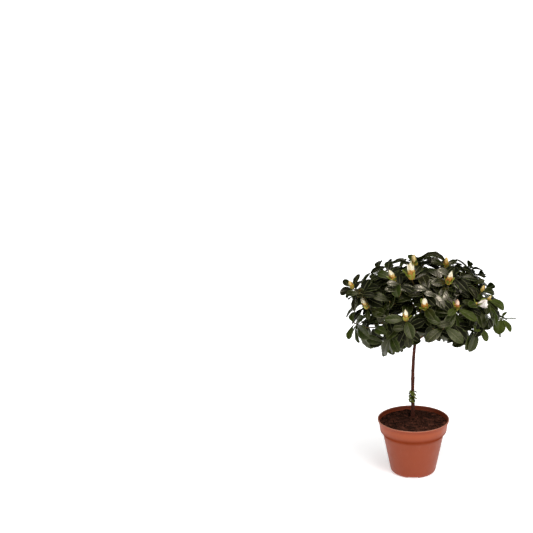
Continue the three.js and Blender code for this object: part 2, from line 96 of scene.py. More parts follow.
# The step gathers no shine, and the gloss comes back between these two distances from its level
STEP_LEVEL = 70.8
STEP_FADE = (2.5, 6)
POT_GLOSS = 0.17

# Soil
SOIL_LEVEL = 87
SOIL_HEAP = 4.5
SOIL_HEAP_RADIUS = 34
SOIL_LUMPS = 1.3
SOIL_CLEAR = 0.3
SOIL_INSET = WALL + SOIL_CLEAR
FOOT = Vector((-0.5, 13, 0))
FOOT_PAD_RADIUS = 14
CRUMBS = 420
CRUMB_SIZES = (0.6, 2.6)
CRUMB_STRETCH = (0.6, 1.3)
FIBRES = 150
FIBRE_LENGTHS = (3, 11)
FIBRE_RADIUS = 0.22
# The crumbs and fibres stay this far from the pot's wall, and the crumbs this far from the stem's middle
WALL_CLEAR = 1.5
STEM_CLEAR = 8

# Stem and boughs
FOOT_LEVEL = 91.8
HEAD = Vector((9.5, 8, 268))
STEM_STEPS = 60
BOW = -1.2
CURL = 4
STEM_RADIUS = 3
STEM_FOOT_RADIUS = 3.2
STEM_HEAD_RADIUS = 2.2
ROOT_FLARE = 1.2
ROOT_FLARE_HEIGHT = 5
ROOT_LOBES = 4
BOUGH_RADIUS = 2.1
BOUGH_TIP_RADIUS = 1.6
BOUGH_END = 0.52
# Radii of a mass's stalk, of a main shoot's twig and of a side shoot's, at both ends
STALK_RADII = (1.75, 1.2)
TWIG_RADII = (1.2, 0.95)
SIDE_TWIG_RADII = (0.85, 0.7)

# Crown: the shoots' tips lie on a dome over a rim that rises towards the front
CROWN_X = 24
CROWN_Y = 6
CROWN_TOP = 362
CROWN_LEFT = 130
CROWN_RIGHT = 110
CROWN_FRONT = 98
CROWN_BACK = 102
RIM_LEVEL = 241
RIM_LIFT = 18
RIM_SLOPE = 9
ARCH_AZIMUTH = 275
ARCH_WIDTH = 17
ARCH_LIFT = 28
FULLNESS = 0.77
UNDER_REACH = 0.6
HEART = Vector((9.5, 8, 272))
OUTER_SHOOTS = 46
SHOOT_SPACING = 28
OUTWARD_LEAN = 0.62
UNDER_SHOOTS = 12
GOLDEN_TURN = 137.508
SEED = 7369
HUB_DEPTH = 0.66
FORK_STRIDE = 3
# Each ring of masses: its name, count, tilt, first azimuth, lowest fork and the step to the next fork
RINGS = [
    ("top", 1, 0, 0, 268, 0),
    ("upper", 4, 46, 28, 245, 4),
    ("lower", 7, 80, -8, 226, 3),
]
# The shoots at the front: their azimuth, tilt, bud size and kind of bud
FRONT_SHOOTS = [
    (180, 6, 0.85, "yellow"),
    (349, 10, 0.8, "amber"),
    (245, 25, 1.2, "cream"),
    (225, 32, 0.95, "cream"),
    (295, 34, 1.05, "cream"),
    (267, 69, 1.1, "cream"),
    (253, 74, 0.85, "cream"),
    (213, 64, 0.85, "cream"),
    (295, 66, 0.85, "rose"),
    (320, 63.5, 1.05, "open"),
    (338, 52, 0.45, "amber"),
    (341, 63, 0.42, "yellow"),
]
# The two shoots that stand out of the dome, one at each side
LONG_SHOOTS = [
    {"tip": Vector((143, -8, 275)), "lean": 1.5, "light": True},
    {
        "tip": Vector((-100, -42, 337)),
        "lean": 0.5,
        "hang": 0,
        "bud": 0.6,
        "kind": "yellow",
        "bend": 10,
        "leaf": 0.78,
    },
]

# Leaves
LEAF_LENGTH = 48
LEAF_WIDTH_SHARE = 0.44
LEAF_THICKNESS = 0.45
ROSETTE_LEAVES = 7
ROSETTE_DEPTH = 9
INNER_SPREAD = 62
OUTER_SPREAD = 102
RIM_HANG = 26
BEND = 34
TWIG_LEAVES = 4
LOW_SHOOTS = 272
LOW_TWIG_LEAVES = 1
SKIRT = 21
# The sprig's leaves: their azimuth, spread, bend, length and breadth
SPRIG_LEAVES = [
    (355, 84, 8, 24, 0.26),
    (252, 116, 40, 30, 0.7),
    (306, 106, 44, 29, 0.46),
    (205, 64, 36, 19, 0.4),
    (60, 52, 30, 18, 0.4),
    (330, 24, 22, 10, 0.42),
]
STANDS_UP = 16
ARCH_ROOT = Vector((3, 9, 358))
ARCH_LENGTH = 64
ARCH_BREADTH = 0.3
ARCH_BEND = 146
OUTWARD_FACING = 0.9
FRONT_FACING = 0.6
LIGHT_TWIST = 0.7
TWIG_LEAF_SPREAD = 84
# The first share of a twig bears no leaves
LEAFLESS = 0.12
# The ways to set a leaf, tried in this order: its share of the length, a turn and a tuck
LEAF_TRIES = [
    (1, 0, 0),
    (0.95, 22, 0),
    (0.95, -22, 0),
    (0.95, 0, -24),
    (0.8, 40, -10),
    (0.8, -40, -10),
    (0.65, 0, 0),
]
MOST_CROSSED = 4
OVER_BORDER = 10

# Rows of points on a leaf, a scale, an open petal and a petal rolled round a bud, each row as shares of
# the length and of the width
LEAF_ROWS = [(0, 0.05), (0.11, 0.13), (0.27, 0.52), (0.45, 0.88), (0.64, 1), (0.81, 0.84), (0.94, 0.46)]
SCALE_ROWS = [(0, 0.6), (0.35, 1), (0.7, 0.75)]
PETAL_ROWS = [(0, 0.2), (0.3, 0.62), (0.62, 1), (0.86, 0.86)]
ROLLED_ROWS = [(0, 0.5), (0.3, 0.95), (0.56, 1), (0.8, 0.68)]
# Where a row's points are, in half widths from the rib: first those on the face, then those underneath
LEAF_ACROSS = [-1, -0.55, -0.06, 0.06, 0.55, 1]
UNDER_ACROSS = [0.55, 0, -0.55]
BLADE_SIDES = len(LEAF_ACROSS) + len(UNDER_ACROSS)
# The edges and the middle of a row on the face, and the leaf's widest row
LEFT_EDGE, MIDDLE, RIGHT_EDGE = 0, 2, 5
WIDEST_ROW = 4

LEAF_GLOSS = 0.95
LEAF_SHEEN = "f6e8d2"
LEAF_EDGE_AND_HIGHLIGHT = "74774e"
# The paler margin, partly the leaf's own edge and partly a painted highlight along it, starts this far
# from the rib, as a share of the width, and tints the edge this much
MARGIN_START = 0.44
MARGIN_TINT = 0.55
# How steeply the veins run forward, and how close they are, in radians to the leaf's length
VEIN_SLANT = 0.42
VEIN_RATE = 44
# Leaves are dark and glossy above the high level; between the levels they take the shaded and near-black
# old looks, painted shade for the dim band between the crown's storeys; below the low one they take
# greener shaded looks; and left of the pale side they are often light
HIGH_TONES = 334
LOW_TONES = 296
PALE_SIDE = -55

# Shoots between those of the solids
SIDE_SHOOTS = 3
SIDE_PLACES = (0.32, 0.72)
SIDE_SPREAD = 62
SIDE_LENGTH = 27
SIDE_LEAF_SHARE = 0.82
SIDE_LEAVES = 4
LOWEST_SIDE_SHOOT = 285

# Buds
BUD_LENGTH = 21
BUD_RADIUS = 4.2
BUD_SHARE = 0.85
BUD_LEVEL = 318
BEHIND = 36
BUD_SIZES = (0.66, 1.05)
# A bud's rows of points, each a share of its length and of its radius
BUD_ROWS = [
    (-0.12, 0.5), (0.02, 0.8), (0.2, 1), (0.4, 0.98),
    (0.58, 0.86), (0.74, 0.64), (0.88, 0.38), (0.96, 0.18),
]
BUD_FOOT_ROWS = 4
BUD_TWIST = 1.1
BUD_CREASE = 0.86
BUD_PETALS = 5
PETAL_THICKNESS = 0.3
YOUNG_LEAVES = 4
YOUNG_SPREADS = (34, 58)
YOUNG_LENGTHS = (11, 19)
TWIN_BUDS = 1.15
OPENING_BEND = -28
CLOSED_BEND = -44
TWIN_SIZE = 0.42
# The leaves leave the front buds open to this side, within this radius
BUD_OUTLOOK = Vector((0, -0.93, 0.37))
BUD_OPENING = 7
BLOSSOM_SINK = 4
BLOSSOM_AXIS = Vector((0.95, -0.3, 0.2)).normalized()
# The blossom's rings of petals: their count, spread and share of the bud's length
BLOSSOM_RINGS = [(4, 4, 0.86), (6, 10, 0.94)]

# Shoot of small leaves low on the stem
TUFT_LEVELS = (121, 141)
TUFT_LEAVES = 24
TUFT_FACING = 262
TUFT_SPREAD = 68
TUFT_HANGS = (92, 118)
TUFT_LENGTHS = (4.4, 6.4)

# Studio
WORLD_LIGHT = 0.045
FLOOR_SIZE = 60
FLOOR_LEVEL = -0.0002
FLOOR_GLOW = 0.5
SUN_TURN = (20, 12, 0)
# The suns' names, strengths and breadths, and the softboxes' names, places, sizes and powers
SUNS = [("lamp_overhead", 2.3, 80), ("lamp_key", 1.35, 24)]
SOFTBOXES = [("lamp_right", (1.3, -1.2, 0.9), 0.9, 3.3), ("lamp_left", (-1.4, -1.1, 0.7), 1.0, 4)]


def lerp(low, high, share):
    return low + (high - low) * share


def smoothstep(value, low, high):
    share = min(1, max(0, (value - low) / (high - low)))
    return share * share * (3 - 2 * share)


def linear(code):
    """A colour from its six hexadecimal digits, as the shader wants it"""
    parts = (int(code[i:i + 2], 16) / 255 for i in (0, 2, 4))
    lit = [part / 12.92 if part < 0.04045 else ((part + 0.055) / 1.055) ** 2.4 for part in parts]
    return (*lit, 1)


def seeded_random(seed):
    """A repeatable stream of numbers from 0 to 1"""
    state = (seed * 7919) % 2147483647

    def draw():
        nonlocal state
        state = (state * 48271) % 2147483647
        return state / 2147483647

    return draw


class Finish:
    """A material whose colour, roughness and relief come from patterns in the piece's own space."""

    def __init__(self, name, colour, roughness, specular=0.5):
        self.material = bpy.data.materials.new(name)
        self.material.use_nodes = True
        self.tree = self.material.node_tree
        self.shader = self.tree.nodes["Principled BSDF"]
        self.shader.inputs["Base Color"].default_value = linear(colour)
        self.shader.inputs["Roughness"].default_value = roughness
        self.shader.inputs["Specular IOR Level"].default_value = specular
        self.place = self.node("ShaderNodeTexCoord").outputs["Object"]

    def node(self, kind, inputs=(), **settings):
        """A node with its settings, and its inputs as values or as other nodes' outputs"""
        made = self.tree.nodes.new(kind)
        for name, value in settings.items():
            setattr(made, name, value)
        for key, value in dict(inputs).items():
            if isinstance(value, bpy.types.NodeSocket):
                self.tree.links.new(value, made.inputs[key])
            else:
                made.inputs[key].default_value = value
        return made

    def cloud(self, size, stretch=(1, 1, 1), detail=4, roughness=0.55):
        """A cloudy pattern with lumps of about a size, drawn out along an axis"""
        scale = [1 / (size * MM * share) for share in stretch]
        placed = self.node("ShaderNodeMapping", {"Vector": self.place, "Scale": scale}).outputs[0]
        inputs = {"Vector": placed, "Scale": 1, "Detail": detail, "Roughness": roughness}
        return self.node("ShaderNodeTexNoise", inputs).outputs["Fac"]

    def banded(self, factor, bands):
        """A colour that goes through bands, each a place from 0 to 1 and its colour"""
        ramp = self.node("ShaderNodeValToRGB", {"Fac": factor})
        stops = ramp.color_ramp.elements
        for _ in bands[2:]:
            stops.new(0.5)
        for stop, (place, code) in zip(stops, bands):
            stop.position = place
            stop.color = linear(code)
        return ramp.outputs["Color"]

    def between(self, factor, low, high, start=0.3, end=0.7):
        """A colour between two, as a pattern goes from start to end"""
        return self.banded(factor, [(start, low), (end, high)])

    def spread(self, factor, low, high, start=0.3, end=0.7):
        """A number between two, as a pattern goes from start to end"""
        inputs = {"Value": factor, "From Min": start, "From Max": end, "To Min": low, "To Max": high}
        return self.node("ShaderNodeMapRange", inputs).outputs["Result"]

    def maths(self, operation, *values):
        """The outcome of an operation on numbers"""
        return self.node("ShaderNodeMath", dict(enumerate(values)), operation=operation).outputs[0]

    def mixed(self, factor, low, high):
        """A colour between two others, by a number from 0 to 1"""
        return self.node("ShaderNodeMix", {0: factor, 6: low, 7: high}, data_type="RGBA").outputs[2]

    def use(self, socket, value):
        self.tree.links.new(value, self.shader.inputs[socket])

    def relief(self, height, depth, strength=1):
        """Raises the surface by a pattern, over any relief it already has"""
        inputs = {"Height": height, "Distance": depth * MM, "Strength": strength}
        earlier = self.shader.inputs["Normal"].links
        if earlier:
            inputs["Normal"] = earlier[0].from_socket
        self.use("Normal", self.node("ShaderNodeBump", inputs).outputs["Normal"])


def pot_finish():
    """Moulded terracotta-coloured plastic, satin, with painted shade in the step and under the lip and
    painted highlights on the collar and the lip
    """
    plastic = Finish("pot_plastic", "9c4a2d", 0.42)
    height = plastic.node("ShaderNodeSeparateXYZ", {"Vector": plastic.place}).outputs["Z"]
    low, high = POT_PAINTED_LIGHT_BANDS[0][0], POT_PAINTED_LIGHT_BANDS[-1][0]
    up = plastic.spread(height, 0, 1, low * MM, high * MM)
    # Painted light by height: the step under the collar and the band under the lip painted in shade, the
    # collar and the lip painted in highlight
    bands = plastic.banded(up, [((level - low) / (high - low), code) for level, code in POT_PAINTED_LIGHT_BANDS])
    worn = plastic.spread(plastic.cloud(34, (1, 1, 2.4)), 0, 0.35)
    tint = plastic.mixed(worn, bands, linear("93442b"))
    scuffs = plastic.cloud(9, (1, 1, 4), detail=8, roughness=0.7)
    pale = plastic.spread(scuffs, 0, 0.2, 0.58, 0.8)
    plastic.use("Base Color", plastic.mixed(pale, tint, linear("ac725c")))
    plastic.use("Roughness", plastic.spread(plastic.cloud(12, detail=6), 0.36, 0.5))
    from_step = plastic.maths("ABSOLUTE", plastic.maths("SUBTRACT", height, STEP_LEVEL * MM))
    near, far = STEP_FADE
    plastic.use("Specular IOR Level", plastic.spread(from_step, 0, POT_GLOSS, near * MM, far * MM))
    plastic.relief(plastic.cloud(0.9, detail=2), 0.05, 0.4)
    plastic.relief(plastic.cloud(22), 0.5, 0.25)
    return plastic.material


def soil_finish():
    """Moist peat: nearly black in its hollows and red-brown on its crumbs"""
    peat = Finish("peat", "3a2418", 0.9, specular=0.12)
    streaks = peat.cloud(6, (1.8, 0.8, 1), detail=6, roughness=0.62)
    tint = peat.between(streaks, "1c0d08", "8c5440", 0.43, 0.64)
    patches = peat.spread(peat.cloud(15, detail=3), 0, 0.9)
    peat.use("Base Color", peat.mixed(patches, tint, linear("28150e")))
    peat.relief(streaks, 2.2, 0.8)
    peat.relief(peat.cloud(1.6, detail=5, roughness=0.6), 0.6, 0.7)
    return peat.material


def bark_finish(name, low, high, grain):
    """Thin bark with long ridges, paler on their crests"""
    bark = Finish(name, high, 0.8, specular=0.1)
    ridges = bark.cloud(grain, (1, 1, 9), detail=7, roughness=0.65)
    bark.use("Base Color", bark.between(ridges, low, high, 0.35, 0.68))
    bark.use("Roughness", bark.spread(bark.cloud(3, detail=5), 0.6, 0.85))
    bark.relief(ridges, 0.35, 0.8)
    return bark.material


def leaf_finish(name, low, high, roughness, specular=LEAF_GLOSS, veins=0.06):
    """A leaf's side: veins run forward from the rib, and the blade is puffed up between them"""
    blade = Finish(name, high, roughness, specular)
    blade.shader.inputs["Specular Tint"].default_value = linear(LEAF_SHEEN)
    split = blade.node("ShaderNodeSeparateXYZ", {"Vector": blade.node("ShaderNodeUVMap").outputs["UV"]})
    away = blade.maths("ABSOLUTE", blade.maths("SUBTRACT", split.outputs["X"], 0.5))
    tint = blade.between(blade.cloud(13, detail=3), low, high)
    # A paler margin, partly the leaf's own edge colour and partly a painted highlight along the edge
    margin = blade.spread(away, 0, MARGIN_TINT, MARGIN_START, 0.5)
    blade.use("Base Color", blade.mixed(margin, tint, linear(LEAF_EDGE_AND_HIGHLIGHT)))
    blade.use("Roughness", blade.spread(blade.cloud(5, detail=3), roughness - 0.06, roughness + 0.08))
    forward = blade.maths("MULTIPLY_ADD", away, -VEIN_SLANT, split.outputs["Y"])
    blade.relief(blade.maths("SINE", blade.maths("MULTIPLY", forward, VEIN_RATE)), veins, 0.8)
    blade.relief(blade.cloud(1.6, detail=2), 0.25, 0.5)
    return blade.material


def petal_finish(name, low, high, roughness=0.5):
    """A petal or scale, tinted softly along its length"""
    petal = Finish(name, high, roughness, specular=0.35)
    petal.use("Base Color", petal.between(petal.cloud(4, (1, 1, 3)), low, high))
    petal.relief(petal.cloud(0.8, (1, 1, 6), detail=3), 0.15, 0.6)
    return petal.material


POT = pot_finish()
PEAT = soil_finish()
CRUMB = bark_finish("peat_crumb", "150a07", "6c3f2e", 5)
STEM_BARK = bark_finish("stem_bark", "2c130d", "6a3a2c", 1.6)
BOUGH_BARK = bark_finish("bough_bark", "3a281c", "6d5138", 1.3)
TWIG_BARK = bark_finish("twig_bark", "4b3b22", "756437", 1.0)
LEAF_LOOKS = [
    # The old leaves' near-black is partly their age and partly painted shade for the crown's inside
    leaf_finish("leaf_old_and_shaded", "070a02", "0e1204", 0.5, 0.1),
    leaf_finish("leaf_dark", "131305", "1e1f09", 0.21),
    leaf_finish("leaf_full", "101303", "1b2105", 0.21),
    leaf_finish("leaf_fresh", "1c2606", "2c370a", 0.38, 0.32),
    leaf_finish("leaf_young", "5e6c18", "7c8628", 0.46),
    leaf_finish("leaf_underside", "2a3312", "39431b", 0.6, 0.15, 0.05),
    leaf_finish("leaf_rib", "3e4026", "525336", 0.44, 0.3, 0),
    leaf_finish("leaf_shaded", "151b04", "252b07", 0.36, 0.28),
    leaf_finish("leaf_light", "2b340c", "3b4614", 0.5, 0.15),
]
OLD_AND_SHADED, DARK, FULL, FRESH, YOUNG, UNDERSIDE, RIB, SHADED, LIGHT = range(9)
BUD_LOOKS = [
    petal_finish("petal_cream", "efe0b4", "fbf5e2"),
    petal_finish("petal_foot", "cfa04a", "e8cf8c"),
    petal_finish("bud_scale", "94561c", "cf9440", 0.42),
    petal_finish("bud_sepal", "85852a", "bdb650", 0.45),
    petal_finish("petal_yellow", "d2b262", "efdba2"),
    petal_finish("petal_amber", "cfa248", "ecd690"),
    petal_finish("petal_rose", "bf6f48", "dc9a76"),
    petal_finish("petal_open", "f0e4dc", "fdf6f0"),
    petal_finish("petal_blush", "e6ae8a", "f6e0cc"),
]
PETAL, PETAL_FOOT, SCALE, SEPAL, YELLOW, AMBER, ROSE, OPEN, BLUSH = range(9)
# The looks of each kind of bud's petals, and of their foot
KINDS = {
    "cream": (PETAL, PETAL_FOOT),
    "yellow": (YELLOW, YELLOW),
    "amber": (AMBER, AMBER),
    "rose": (BLUSH, ROSE),
}


def deselect():
    bpy.ops.object.select_all(action="DESELECT")


def make_active(piece):
    deselect()
    piece.select_set(True)
    bpy.context.view_layer.objects.active = piece


def added(operator, **settings):
    """The new object that an operator adds"""
    deselect()
    operator(**settings)
    return bpy.context.object


def settle(piece, slot, *nodes):
    """Puts a finished piece on the plant's one body, in place of the solids it stands for"""
    make_active(piece)
    bpy.ops.object.transform_apply(location=True, rotation=True, scale=True)
    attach(piece, "root")
    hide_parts(*nodes)
    return piece


class Path:
    """A curve as close points, with the place and the direction at a share of its length."""

    def __init__(self, place, steps=40):
        self.points = [place(step / steps) for step in range(steps + 1)]
        self.reach = [0]
        for before, after in zip(self.points, self.points[1:]):
            self.reach.append(self.reach[-1] + (after - before).length)
        self.length = self.reach[-1]

    def span(self, share):
        """The stretch between points that holds a share of the length, and how far along it that is"""
        wanted = min(1, max(0, share)) * self.length
        step = 0
        while step < len(self.points) - 2 and self.reach[step + 1] < wanted:
            step += 1
        return step, (wanted - self.reach[step]) / (self.reach[step + 1] - self.reach[step])

    def at(self, share):
        step, along = self.span(share)
        return self.points[step].lerp(self.points[step + 1], along)

    def heading(self, share):
        step, _ = self.span(share)
        return (self.points[step + 1] - self.points[step]).normalized()


def bent(start, middle, end):
    """A curve between two places, drawn towards a third"""
    return Path(lambda t: start * (1 - t) ** 2 + middle * (2 * t * (1 - t)) + end * t ** 2)


class Surface:
    """Points and faces gathered for one piece, with their looks and the points' places on a leaf."""

    def __init__(self):
        self.points = []
        self.places = []
        self.faces = []
        self.looks = []

    def add(self, points, faces, looks, places=None):
        start = len(self.points)
        self.points += points
        self.places += places or [(0.5, 0.5)] * len(points)
        self.faces += [[start + corner for corner in face] for face in faces]
        self.looks += looks

    def piece(self, name, looks, soft_angle=50):
        mesh = bpy.data.meshes.new(name)
        mesh.from_pydata([point * MM for point in self.points], [], self.faces)
        for look in looks:
            mesh.materials.append(look)
        mesh.polygons.foreach_set("material_index", self.looks)
        places = mesh.uv_layers.new(name="place")
        for loop in mesh.loops:
            places.data[loop.index].uv = self.places[loop.vertex_index]
        made = bpy.data.objects.new(name, mesh)
        bpy.context.scene.collection.objects.link(made)
        make_active(made)
        bpy.ops.object.shade_smooth_by_angle(angle=math.radians(soft_angle))
        return made


def ring_faces(rows, sides):
    """Faces between rows of points round a shape, the first row capped and the last drawn to a point"""
    faces = [list(range(sides))[::-1]]
    for row in range(rows - 1):
        for i in range(sides):
            low, high = row * sides, (row + 1) * sides
            after = (i + 1) % sides
            faces.append([low + i, low + after, high + after, high + i])
    last = (rows - 1) * sides
    faces += [[last + i, last + (i + 1) % sides, rows * sides] for i in range(sides)]
    return faces


def frames(path, shares):
    """Two directions across a curve at each share, carried along it without turning round it"""
    heading = path.heading(shares[0])
    side = heading.orthogonal().normalized()
    for share in shares:
        heading = path.heading(share)
        side = (side - heading * side.dot(heading)).normalized()
        yield path.at(share), side, heading.cross(side)


def round_limb(surface, path, radius_at, point, sides, steps):
    """A round limb along a path, its radius from a rule, its end drawn in to a point that far on"""
    shares = [step / steps for step in range(steps + 1)]
    points = []
    for share, (centre, side, other) in zip(shares, frames(path, shares)):
        for i in range(sides):
            turn = 2 * math.pi * i / sides
            out = side * math.cos(turn) + other * math.sin(turn)
            points.append(centre + out * radius_at(share, turn, centre, out))
    points.append(path.at(1) + point)
    faces = ring_faces(steps + 1, sides)
    surface.add(points, faces, [0] * len(faces))


def tube(surface, path, start, end, sides, steps, rough=0):
    """A thin limb that tapers from one radius to another, with a rough surface if wanted"""

    def radius_at(share, turn, centre, out):
        return lerp(start, end, share) + rough * noise.noise((centre + out * 4) * 0.5)

    round_limb(surface, path, radius_at, path.heading(1) * end * 0.6, sides, steps)


def turned(name, outline, sides):
    """A closed turned shape, extruded ring by ring along an outline of radii and heights"""
    radius, height = outline[0]
    circle = {"vertices": sides, "radius": radius * MM, "fill_type": "NGON"}
    made = added(bpy.ops.mesh.primitive_circle_add, location=(0, 0, height * MM), **circle)
    made.name = name
    bpy.ops.object.mode_set(mode="EDIT")
    bpy.ops.mesh.select_all(action="SELECT")
    for (before, low), (after, high) in zip(outline, outline[1:]):
        bpy.ops.mesh.extrude_region_move(TRANSFORM_OT_translate={"value": (0, 0, (high - low) * MM)})
        share = after / before
        bpy.ops.transform.resize(value=(share, share, 1), center_override=(0, 0, 0))
    bpy.ops.mesh.select_all(action="SELECT")
    bpy.ops.mesh.normals_make_consistent(inside=False)
    bpy.ops.object.mode_set(mode="OBJECT")
    bpy.ops.object.transform_apply(location=True, rotation=True, scale=True)
    return made


def rounded(outline, radius, steps=4):
    """An outline with its inner corners rounded off by up to a radius"""
    soft = [outline[0]]
    for before, corner, after in zip(outline, outline[1:], outline[2:]):
        before, corner, after = Vector(before), Vector(corner), Vector(after)
        cut = min(radius, 0.45 * (corner - before).length, 0.45 * (after - corner).length)
        start = corner + (before - corner).normalized() * cut
        end = corner + (after - corner).normalized() * cut
        for step in range(steps + 1):
            t = step / steps
            soft.append(tuple(start * (1 - t) ** 2 + corner * (2 * t * (1 - t)) + end * t ** 2))
    return soft + [outline[-1]]


def carve(body, cutter, turn):
    """Turns one shape about the pot's axis and takes it out of another"""
    cutter.data.transform(Matrix.Rotation(turn, 4, "Z"))
    make_active(body)
    cut = body.modifiers.new("cut", "BOOLEAN")
    cut.operation = "DIFFERENCE"
    cut.solver = "EXACT"
    cut.object = cutter
    bpy.ops.object.modifier_apply(modifier=cut.name)
    bpy.data.objects.remove(cutter)


def drains(shell):
    """The slots through the pot's standing ring and the holes in its floor"""
    slot_length = BASE_RADIUS + 4 - RING_INNER_RADIUS
    slot_middle = RING_INNER_RADIUS + slot_length / 2 - 1
    hole_middle = RING_INNER_RADIUS + DRAIN_HOLE_RADIUS + 1
    drill = {"vertices": 24, "radius": DRAIN_HOLE_RADIUS * MM, "depth": FLOOR * 3 * MM}
    for i in range(DRAINS):
        turn = 2 * math.pi * i / DRAINS - math.pi / 2
        slot = added(bpy.ops.mesh.primitive_cube_add, size=1, location=(slot_middle * MM, 0, 0))
        slot.scale = (slot_length * MM, DRAIN_WIDTH * MM, DRAIN_HEIGHT * 2 * MM)
        bpy.ops.object.transform_apply(location=True, scale=True)
        bevel = slot.modifiers.new("round", "BEVEL")
        bevel.width = DRAIN_ROUNDING * MM
        bevel.segments = 4
        bpy.ops.object.modifier_apply(modifier=bevel.name)
        carve(shell, slot, turn)
        hole = added(bpy.ops.mesh.primitive_cylinder_add, location=(hole_middle * MM, 0, 0), **drill)
        bpy.ops.object.transform_apply(location=True)
        carve(shell, hole, turn)


def pot():
    """The pot: a thin turned shell with a lip, a collar and a shoulder, and drains through its ring"""
    lip_foot = POT_HEIGHT - LIP_HEIGHT
    outline = [
        (0.5, 0),
        (PAD_RADIUS, 0),
        (PAD_RADIUS + GROOVE_DEPTH, GROOVE_DEPTH),
        (RING_INNER_RADIUS - GROOVE_DEPTH, GROOVE_DEPTH),
        (RING_INNER_RADIUS, 0),
        (BASE_RADIUS - BASE_ROUNDING, 0),
        (BASE_RADIUS + 0.4, BASE_ROUNDING * 1.2),
        (SHOULDER_RADIUS, SHOULDER_FOOT),
        (COLLAR_FOOT_RADIUS, COLLAR_FOOT),
        (RIM_RADIUS - LIP_PROUD, lip_foot - 0.5),
        (RIM_RADIUS, lip_foot),
        (RIM_RADIUS, POT_HEIGHT),
        (RIM_RADIUS - LIP_INSET - WALL, POT_HEIGHT),
        (COLLAR_FOOT_RADIUS - WALL, COLLAR_FOOT + 1),
        (SHOULDER_RADIUS - WALL, SHOULDER_FOOT + 1),
        (BASE_RADIUS - WALL, FLOOR),
        (0.5, FLOOR),
    ]
    shell = turned("pot_shell", rounded(outline, 1.6), POT_SIDES)
    drains(shell)
    make_active(shell)
    shell.data.materials.append(POT)
    bpy.ops.object.shade_smooth_by_angle(angle=math.radians(40))
    settle(shell, "pot", "pot")


def soil_level(x, y):
    """Height of the soil at a place"""
    away = math.hypot(x - FOOT.x, y - FOOT.y)
    fall = smoothstep(away, FOOT_PAD_RADIUS, FOOT_PAD_RADIUS + SOIL_HEAP_RADIUS)
    lumps = math.sin(x * 0.21 + 1.3) * math.cos(y * 0.17 - 0.4) + 0.6 * math.sin((x - y) * 0.11)
    return SOIL_LEVEL + SOIL_HEAP * (1 - fall) + SOIL_LUMPS * lumps * fall


def soil_wall_radius():
    """Radius of the soil where its top meets the pot"""
    up_the_collar = (SOIL_LEVEL - COLLAR_FOOT - 1) / (COLLAR_HEIGHT - 1)
    return lerp(COLLAR_FOOT_RADIUS, RIM_RADIUS - LIP_INSET, up_the_collar) - SOIL_INSET


def soil():
    """The soil: a turned body down to the pot's floor, its top raised in lumps"""
    edge = soil_wall_radius()
    rings = 44
    outline = [
        (0.5, FLOOR + SOIL_CLEAR),
        (BASE_RADIUS - SOIL_INSET, FLOOR + SOIL_CLEAR),
        (SHOULDER_RADIUS - SOIL_INSET, SHOULDER_FOOT + 1),
        (COLLAR_FOOT_RADIUS - SOIL_INSET, COLLAR_FOOT + 1),
        (edge, SOIL_LEVEL),
    ]
    outline += [(lerp(edge, 0.3, (ring + 1) / rings), SOIL_LEVEL) for ring in range(rings)]
    body = turned("soil_body", outline, 144)
    for vertex in body.data.vertices:
        x, y, z = (part / MM for part in vertex.co)
        if z < SOIL_LEVEL - 0.01:
            continue
        inner = smoothstep(edge - math.hypot(x, y), 0, 3)
        place = Vector((x, y, 0))
        coarse = 2.2 * noise.fractal(place * 0.12, 1, 2, 3)
        fine = 0.9 * noise.fractal(place * 0.55 + Vector((7, 3, 1)), 0.8, 2, 4)
        vertex.co.z = lerp(SOIL_LEVEL, soil_level(x, y) + coarse + fine, inner) * MM
    make_active(body)
    body.data.materials.append(PEAT)
    bpy.ops.object.shade_smooth()
    settle(body, "soil", "soil")


def strewn(random, edge):
    """A place on the soil, within an edge"""
    away, turn = edge * math.sqrt(random()), 2 * math.pi * random()
    return away * math.cos(turn), away * math.sin(turn)


def crumbs(surface, random, edge):
    """Small lumps of peat, more of them small than large, and none at the stem"""
    grain = added(bpy.ops.mesh.primitive_ico_sphere_add, subdivisions=1, radius=1)
    corners = [vertex.co.copy() for vertex in grain.data.vertices]
    faces = [list(face.vertices) for face in grain.data.polygons]
    bpy.data.objects.remove(grain)
    for _ in range(CRUMBS):
        x, y = strewn(random, edge)
        size = lerp(*CRUMB_SIZES, random() ** 3)
        if math.hypot(x - FOOT.x, y - FOOT.y) < STEM_CLEAR:
            continue
        centre = Vector((x, y, soil_level(x, y) + 0.3 * size))
        stretch = [size * lerp(*CRUMB_STRETCH, random()) for _ in range(3)]
        spin = Matrix.Rotation(2 * math.pi * random(), 3, "Z")
        spin = spin @ Matrix.Rotation(math.pi * random(), 3, "X")
        shape = [centre + spin @ Vector([a * b for a, b in zip(corner, stretch)]) for corner in corners]
        surface.add(shape, faces, [0] * len(faces))


def fibres(surface, random, edge):
    """Thin fibres that lie on the soil and arch a little"""
    for _ in range(FIBRES):
        start = Vector((*strewn(random, edge - 4), 0))
        way = 2 * math.pi * random()
        length = lerp(*FIBRE_LENGTHS, random())
        end = start + length * Vector((math.cos(way), math.sin(way), 0))
        if end.xy.length > edge:
            continue
        middle = start.lerp(end, 0.5) + Vector((2 * random() - 1, 2 * random() - 1, 0))
        for place, lift in ((start, 0.2), (middle, 0.6 + 1.6 * random()), (end, 0.2)):
            place.z = soil_level(place.x, place.y) + lift
        tube(surface, bent(start, middle, end), FIBRE_RADIUS, FIBRE_RADIUS, sides=3, steps=4)


def litter():
    """Crumbs and fibres strewn over the soil"""
    random = seeded_random(SEED + 5)
    surface = Surface()
    edge = soil_wall_radius() - WALL_CLEAR
    crumbs(surface, random, edge)
    fibres(surface, random, edge)
    settle(surface.piece("soil_crumbs", [CRUMB], 80), "soil", "soil")


def stem_place(share):
    """A place on the stem's centre line"""
    place = Vector((FOOT.x, FOOT.y, FOOT_LEVEL)).lerp(HEAD, share)
    place.x = lerp(FOOT.x, HEAD.x, share ** CURL) + BOW * math.sin(math.pi * share)
    return place


def stem_at(height):
    return stem_place(min(1, max(0, (height - FOOT_LEVEL) / (HEAD.z - FOOT_LEVEL))))


